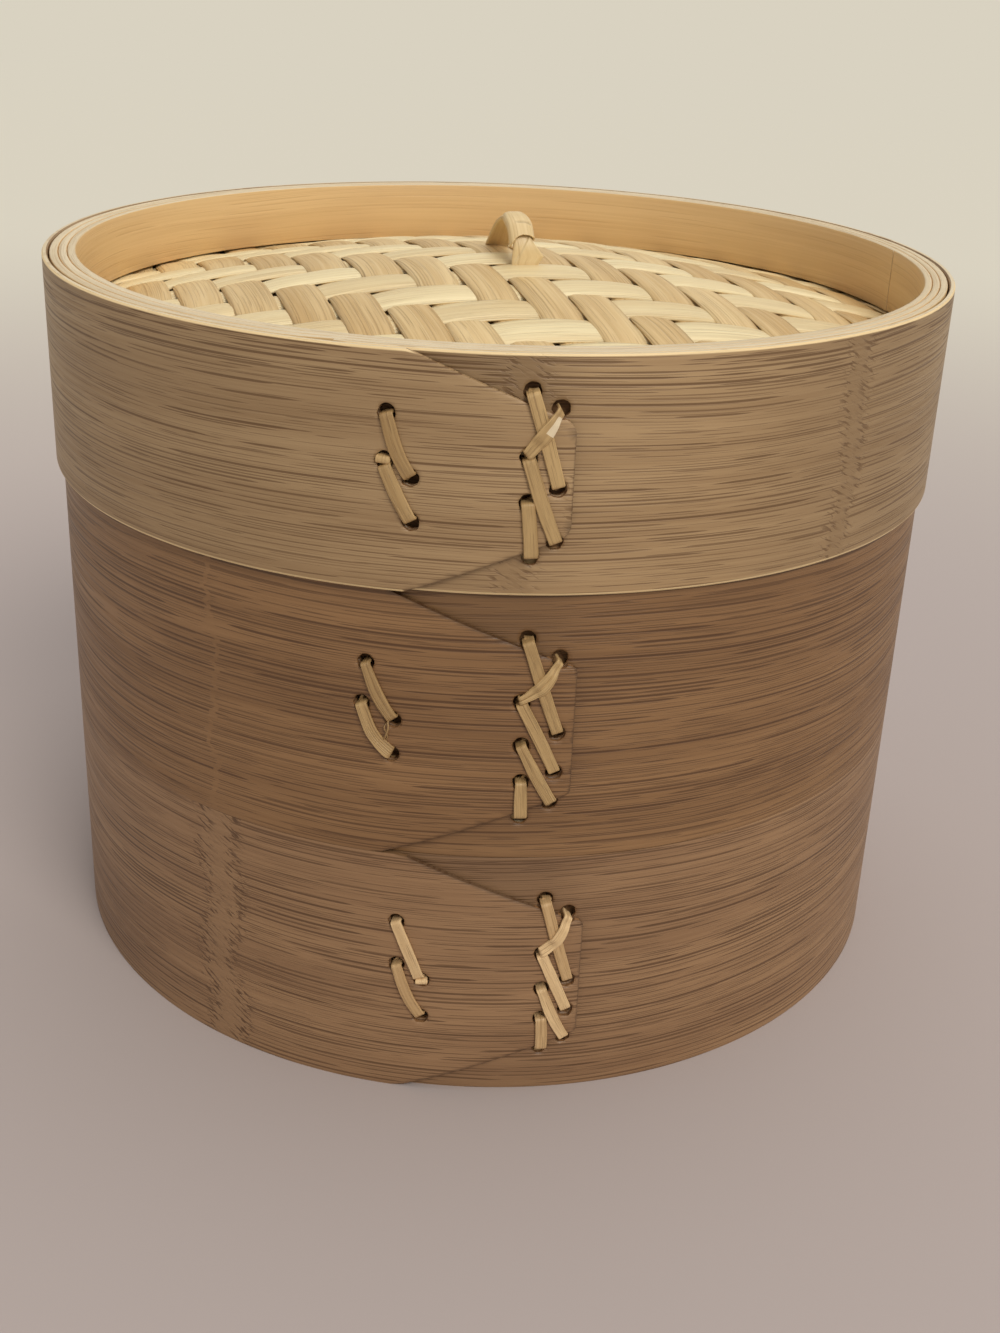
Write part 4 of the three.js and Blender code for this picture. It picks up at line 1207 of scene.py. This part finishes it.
# %% Lay the laces
CROSS = dict(hump=0.62, hump_at=0.42, bow=0.95, tone=0.8, shift=((-0.25, -0.1), (-0.35, 0.55)))
LACES = {
    "lower": dict(finish="bright_lace", width=2.45, main=[
        ("R1", "L2", dict(CROSS, bow=0.9, widths=(0.85, 0.98, 0.95), twist=(0.3, 0.0, -0.4), groove=0.12)),
        ("L1", "R2", dict(bow=-0.1)),
        ("L2", "R3", dict(shift=((0.05, -0.35), (0, 0.6)))),
        ("L3", "R4", dict(bow=-0.4, widths=(0.86, 1.0, 0.9), groove=0.1, shift=((0, -0.1), (0, 1.0)))),
        ("L4", "L5", dict(bow=0.1, widths=(0.96, 1.04, 1.0), shift=((0, -0.1), (0, 0.85))))], side=[
        ("S1", "S2", dict(shift=((0, 0), (-0.5, 0.75)))),
        ("S3", "S4", dict(bow=-0.65))],
        extras=dict(stubs=[("S2", ((0.0, 0.2), (0.1, -0.6)))])),
    "upper": dict(finish="lace_split", width=2.5, main=[
        ("R1", "L2", dict(CROSS, widths=(0.7, 1.12, 0.66), twist=(0.3, -0.1, -0.3), groove=0.34)),
        ("L1", "R2", dict(bow=-0.1)),
        ("L2", "R3", dict(bow=0.1, shift=((0.1, -0.35), (0, 0.5)))),
        ("L3", "R4", dict(bow=-0.15, widths=(0.84, 1.0, 0.98), shift=((0, -0.1), (0, 0.85)))),
        ("L4", "L5", dict(widths=(0.9, 1.04, 1.04), shift=((0, -0.1), (0, 0.8))))], side=[
        ("S1", "S2", dict(bow=-0.6, widths=(0.8, 1.05, 0.95))),
        ("S3", "S4", dict(bow=-1.1, widths=(0.96, 1.0, 1.1), twist=(0.0, 0.1, 0.25)))],
        extras=dict(fibres=[
            ("S2", 0.2, [(-0.6, -0.8, 0.2), (-0.75, 0.6, -0.2), (-0.6, 1.0, -1.3), (-1.1, 0.9, -3.0),
                         (-1.7, 0.3, -4.4)]),
            ("S2", 0.14, [(-0.9, -0.6, -0.4), (-1.5, 0.5, -1.4), (-1.1, 0.5, -2.6), (-0.9, 0.3, -3.6),
                          (-1.5, 0.1, -4.6)])])),
    "lid": dict(finish="lace_split", width=2.7, main=[
        ("R1", "L2", dict(CROSS, bow=0.15, widths=(0.7, 1.06, 0.8), twist=(0.5, 0.1, -0.25), glint=(0.22, 0.48))),
        ("L1", "R2", dict(bow=0.1)),
        ("L2", "R3", dict(bow=-0.2, shift=((0.05, -0.35), (0, 0.4)))),
        ("L3", "L4", dict(bow=0.1, widths=(0.95, 1.0, 1.0)))], side=[
        ("S1", "S2", dict(bow=-0.6)),
        ("S3", "S4", dict(bow=-0.2, shift=((0.1, -1.0), (0, 0.4))))],
        extras=dict(stubs=[("S3", ((-0.1, 0.65), (-0.15, -0.35)))]))}
for number, (tag, laces) in enumerate(LACES.items()):
    for part, seed, extras in (("main", 40 + number, {}), ("side", 50 + number, laces["extras"])):
        lace = lace_piece(f"{tag}_{part}_lace", WALLS[tag], wood[laces["finish"]], laces["width"], laces[part], seed,
                          **extras)
        dress(lace, WALLS[tag].body, "lacing", f"{tag}_{part}_lacing")

# %% [markdown]
# ## The handle
#
# A folded strip stands up through the weave as a small leaning arch, and a wider strip is bound over its
# front and top as a sleeve. The arch is swept along its own curve. Its front leg flares to the right above
# the dome and shows the slanting edge of the fold. The sleeve is a thin tube, open at its ends, with an
# arched hem, so that it casts a shadow on the strip that comes out of it.

# %% Handle
HALF_SPAN, HANDLE_RISE = 10.85, 8.5
HANDLE_TURN = math.radians(16)
HANDLE_SHIFT = (1.5, 0.9)
HANDLE_THICKNESS, HANDLE_HALF_WIDTH = 1.1, 2.1
ARCH_STEPS = 24
CROWN = DOME_EDGE + DOME_RISE
DEEP = -3.6  # how far the legs go below the crown
FOLD_AT, FOLD_SLOPE, FOLD_LAYER = 1.75, 0.66, 0.3  # the slanting edge of the fold on the front leg
FLARE_HEIGHTS, FLARE = (-3.6, -0.4, 1.2, 2.6, 3.9, 5.2), (0.4, 1.7, 2.95, 1.75, 0.6, 0.0)

arch = curve_through([Vector((x * HALF_SPAN, y * HANDLE_RISE)) for x, y in (
    (-1, 0), (-0.97, 0.45), (-0.74, 0.86), (-0.28, 0.99), (0.18, 0.86), (0.68, 0.52), (1.25, 0))], ARCH_STEPS)
foot = [Vector((x - HALF_SPAN, y)) for x, y in ((4.6, DEEP), (0.6, DEEP), (0, DEEP + 0.6), (0, 0.5 * DEEP))]
back_foot = [Vector((x * HALF_SPAN, y * DEEP)) for x, y in ((1.36, 0.35), (1.41, 0.8), (1.41, 1))]


def handle_place(side, along, up):
    """From the arch's own plane to the steamer. side is to the right, along runs from front to back."""
    x = HANDLE_SHIFT[0] + side * math.cos(HANDLE_TURN) - along * math.sin(HANDLE_TURN)
    y = HANDLE_SHIFT[1] + side * math.sin(HANDLE_TURN) + along * math.cos(HANDLE_TURN)
    return Vector((x, y, CROWN + up)) * MM


def line_normals(line):
    return [Vector((-ahead.y, ahead.x)) for ahead in directions(line)]


def arch_sections(line, last=27):
    """Cross-sections of the folded strip along a line, with points from 0 to last across it."""
    sections = []
    for point, normal in zip(line, line_normals(line)):
        front = point.x < 0
        spread = smooth(1 - point.y / (0.9 * HANDLE_RISE))
        flare = float(np.interp(point.y, FLARE_HEIGHTS, FLARE))
        left = -HANDLE_HALF_WIDTH - (0.3 * smooth(1 - point.y / 4) - 0.15 if front else -0.5 * spread)
        right = HANDLE_HALF_WIDTH + (flare if front else 2.0 * spread)
        outer, inner = [], []
        for k in range(last + 1):
            side = left + (right - left) * k / last
            # The fold's slanting edge: the part to the right of it lies one layer higher.
            fold = side + FOLD_AT - FOLD_SLOPE * point.y
            layer = FOLD_LAYER * smooth(fold / 0.16 + 0.5) if front and -1 <= point.y < 6.5 else 0.0
            edge = 0.3 * max(0.0, abs(2 * k / last - 1) - 0.8) / 0.2
            for row, t in ((outer, HANDLE_THICKNESS / 2 - edge + layer), (inner, -HANDLE_THICKNESS / 2 + edge)):
                row.append(handle_place(side, point.x + normal.x * t, point.y + normal.y * t))
        sections.append(outer + inner[::-1])
    return sections


loop = sweep("lid_handle_arch", arch_sections([*foot, *arch, *back_foot]), [wood["handle_split"]], sharp=50)
dress(loop, "lid", "handle", "lid_handle_loop")
print("handle arch:", len(loop.data.polygons), "faces")

# %% Binding over the handle's top
WRAP_HALF_WIDTH, WRAP_HALF_DEPTH, WRAP_WALL = 2.95, 1.42, 0.35
WRAP_CORNERS = 36
HEM_AT = 0.6  # share of the rise where the middle of the front hem lies
HEM_DROP = {-1: 2.2, 1: 0.7}  # how far the hem's left and right corners hang below its middle
HEM_FLARE = 0.35
WRAP_END = 0.5  # share of the arch's points that the binding reaches
# The slit's dark line is a painted shadow; SLIT_SHADE is how dark it is.
SLIT_AT, SLIT_WIDTH, SLIT_SHADE = 0.39, 0.03, 1.7  # the binding's own end, in shares of its length


def wrap_rings():
    """The binding's outer and inner rings along the arch, and the painted shadow of each outer point in its slit."""
    normals = line_normals(arch)
    begin = next(i for i, p in enumerate(arch) if p.y >= HEM_AT * HANDLE_RISE)
    end = round(WRAP_END * (len(arch) - 1))
    rings, slit_shadows = [], []
    for i in range(begin, end + 1):
        point, normal = arch[i], normals[i]
        share = (i - begin) / (end - begin)
        tangent = Vector((normal.y, -normal.x))
        pinch = 1 - 0.12 * smooth((share - 0.55) / 0.45)
        outer, inner = [], []
        for k in range(WRAP_CORNERS):
            turn = -math.tau * k / WRAP_CORNERS
            c, s = math.cos(turn), math.sin(turn)
            round_x = math.copysign(abs(c) ** 0.6, c)
            round_y = math.copysign(abs(s) ** 0.75, s)
            # The binding's own end shows as a short bent slit across the right of its face: a shallow dip with a
            # painted shadow in it.
            seam = SLIT_AT - 0.12 * max(0.0, round_x) ** 2
            slit = math.exp(-((share - seam) / SLIT_WIDTH) ** 2) * smooth((round_x + 0.45) / 0.25) if s > 0 else 0.0
            slit *= smooth((0.85 - round_x) / 0.1)
            slit_shadows.append(SLIT_SHADE * slit)
            hem = HEM_DROP[1 if c > 0 else -1] * round_x * round_x * max(0.0, 1 - share / 0.3) ** 1.5
            flare = HEM_FLARE * max(0.0, s) * max(0.0, 1 - share / 0.25) ** 1.5
            for ring, shrink in ((outer, 0.0), (inner, WRAP_WALL)):
                side = round_x * (WRAP_HALF_WIDTH * pinch - shrink)
                t = round_y * (WRAP_HALF_DEPTH - shrink) + (0.1 if shrink else -0.25 * slit) + flare
                ring.append(handle_place(side, point.x + normal.x * t - tangent.x * hem,
                                         point.y + normal.y * t - tangent.y * hem))
        rings.append((outer, inner))
    return rings, slit_shadows


def tube_piece(name, rings, shade, material):
    """A thin tube with open ends: an outer skin, an inner skin and two hems. Its outside gets the painted shade asked
    for, and its inside is painted fully in shade.
    """
    count, last = len(rings[0][0]), len(rings) - 1
    points = [p for skin in (0, 1) for ring in rings for p in ring[skin]]
    shift = len(rings) * count
    faces, uvs = [], []

    def corner(i, j):
        return i * 0.0004, j * 0.0005

    for i in range(last):
        for j in range(count):
            k = (j + 1) % count
            face = (i * count + j, i * count + k, (i + 1) * count + k, (i + 1) * count + j)
            face_uvs = [corner(i, j), corner(i, j + 1), corner(i + 1, j + 1), corner(i + 1, j)]
            faces += [face, tuple(p + shift for p in face[::-1])]
            uvs += face_uvs + face_uvs[::-1]
    for i, way in ((0, 1), (last, -1)):
        for j in range(count):
            k = (j + 1) % count
            faces.append((i * count + k, i * count + j, i * count + j + shift, i * count + k + shift)[::way])
            uvs += [corner(i, j)] * 4
    # The inner skin is painted fully in shade.
    return make_piece(name, points, faces, [material], uvs, sharp=40, shade=shade + [1.0] * len(shade))


binding = tube_piece("lid_handle_binding", *wrap_rings(), wood["handle_split"])
dress(binding, "lid", "handle", "lid_handle_wrap")
print("binding:", len(binding.data.polygons), "faces")

# %% [markdown]
# ## The stage
#
# The steamer stands on a wide round floor. Close by it is a pale warm grey, and it fades into the pale cream
# of the backdrop, which is the colour of the sky for the camera, so no edge shows. What lights the steamer is
# another, even sky.

# %% Floor
FLOOR_START, FLOOR_REACH = 0.35, 8.0
FLOOR_RINGS, FLOOR_CORNERS = 8, 96
FLOOR_COLOUR, BACKDROP_COLOUR = srgb(182, 169, 163), srgb(217, 210, 193)


def seen_by(make, *kinds):
    """1 for the kinds of rays that the camera sees by, 0 for the others."""
    rays = make.add("ShaderNodeLightPath", out=tuple(f"Is {kind} Ray" for kind in kinds))
    seen = rays[-1]
    for ray in rays[-2::-1]:
        seen = make.math("MAXIMUM", ray, seen)
    return seen


radii = [FLOOR_START * (FLOOR_REACH / FLOOR_START) ** (k / (FLOOR_RINGS - 1)) for k in range(FLOOR_RINGS)]
turns = [math.tau * k / FLOOR_CORNERS for k in range(FLOOR_CORNERS)]
stage_points = [(0.0, 0.0, 0.0)] + [(r * math.cos(turn), r * math.sin(turn), 0.0) for r in radii for turn in turns]
stage_faces = []
for k in range(FLOOR_CORNERS):
    a, b = 1 + k, 1 + (k + 1) % FLOOR_CORNERS
    stage_faces.append((0, a, b))
    for ring in range(0, (FLOOR_RINGS - 1) * FLOOR_CORNERS, FLOOR_CORNERS):
        stage_faces.append((ring + a, ring + a + FLOOR_CORNERS, ring + b + FLOOR_CORNERS, ring + b))
stage = add_object("stage", bpy.data.meshes.new("stage"))
stage.data.from_pydata(stage_points, [], stage_faces)
stage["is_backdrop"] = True

stage_material = bpy.data.materials.new("stage")
make = emptied(stage_material)
place = make.add("ShaderNodeTexCoord", out="Object")
away = make.add("ShaderNodeVectorMath", {0: place}, out="Value", operation="LENGTH")
colour = make.mix(make.fade(away, 0.2, 1.0), FLOOR_COLOUR, BACKDROP_COLOUR)
lit = make.add("ShaderNodeBsdfPrincipled", {"Base Color": colour, "Roughness": 0.9, "Specular IOR Level": 0.1})
even = make.add("ShaderNodeEmission", {"Color": BACKDROP_COLOUR, "Strength": 1.0})
far = make.fade(away, 0.5, 2.5) * seen_by(make, "Camera", "Glossy")
both = make.add("ShaderNodeMixShader", {0: far, 1: lit, 2: even})
make.add("ShaderNodeOutputMaterial", {"Surface": both}, out=None)
stage.data.materials.append(stage_material)
print("floor:", len(stage_faces), "faces,", 2 * FLOOR_REACH, "m across")

# %% [markdown]
# ## Light
#
# The light is soft and comes from the upper right in front, so the walls are brightest a little right of
# the middle. Two suns with a very wide disc give it, because a sun doesn't fade with distance, and an even
# sky fills the rest. Together they light a level surface about as bright as its colour is written.

# %% Suns and sky


def sun(name, turn, rise, width, strength, colour):
    """A soft sun. turn is counted from the front towards the right, rise from the level, both in degrees."""
    data = bpy.data.lights.new(name, "SUN")
    data.energy, data.angle, data.color = strength * math.pi, math.radians(width), colour
    add_object(name, data).rotation_euler = (math.radians(90 - rise), 0, math.radians(turn))


sun("key_sun", 28, 42, 28, 0.5, (1.0, 0.97, 0.92))
sun("top_sun", 150, 75, 50, 0.28, (1.0, 0.98, 0.95))
world = bpy.data.worlds.new("sky")
bpy.context.scene.world = world
make = emptied(world)
light_sky = make.add("ShaderNodeBackground", {"Color": (0.95, 0.97, 1.0, 1.0), "Strength": 0.42})
seen_sky = make.add("ShaderNodeBackground", {"Color": BACKDROP_COLOUR, "Strength": 1.0})
seen = seen_by(make, "Camera", "Glossy", "Transmission")
sky = make.add("ShaderNodeMixShader", {0: seen, 1: light_sky, 2: seen_sky})
make.add("ShaderNodeOutputWorld", {"Surface": sky}, out=None)
bpy.context.scene.view_settings.view_transform = "Standard"
print("lights:", len(bpy.data.lights), "suns and a sky")

# %% The bounds of what is shown
low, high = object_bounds()
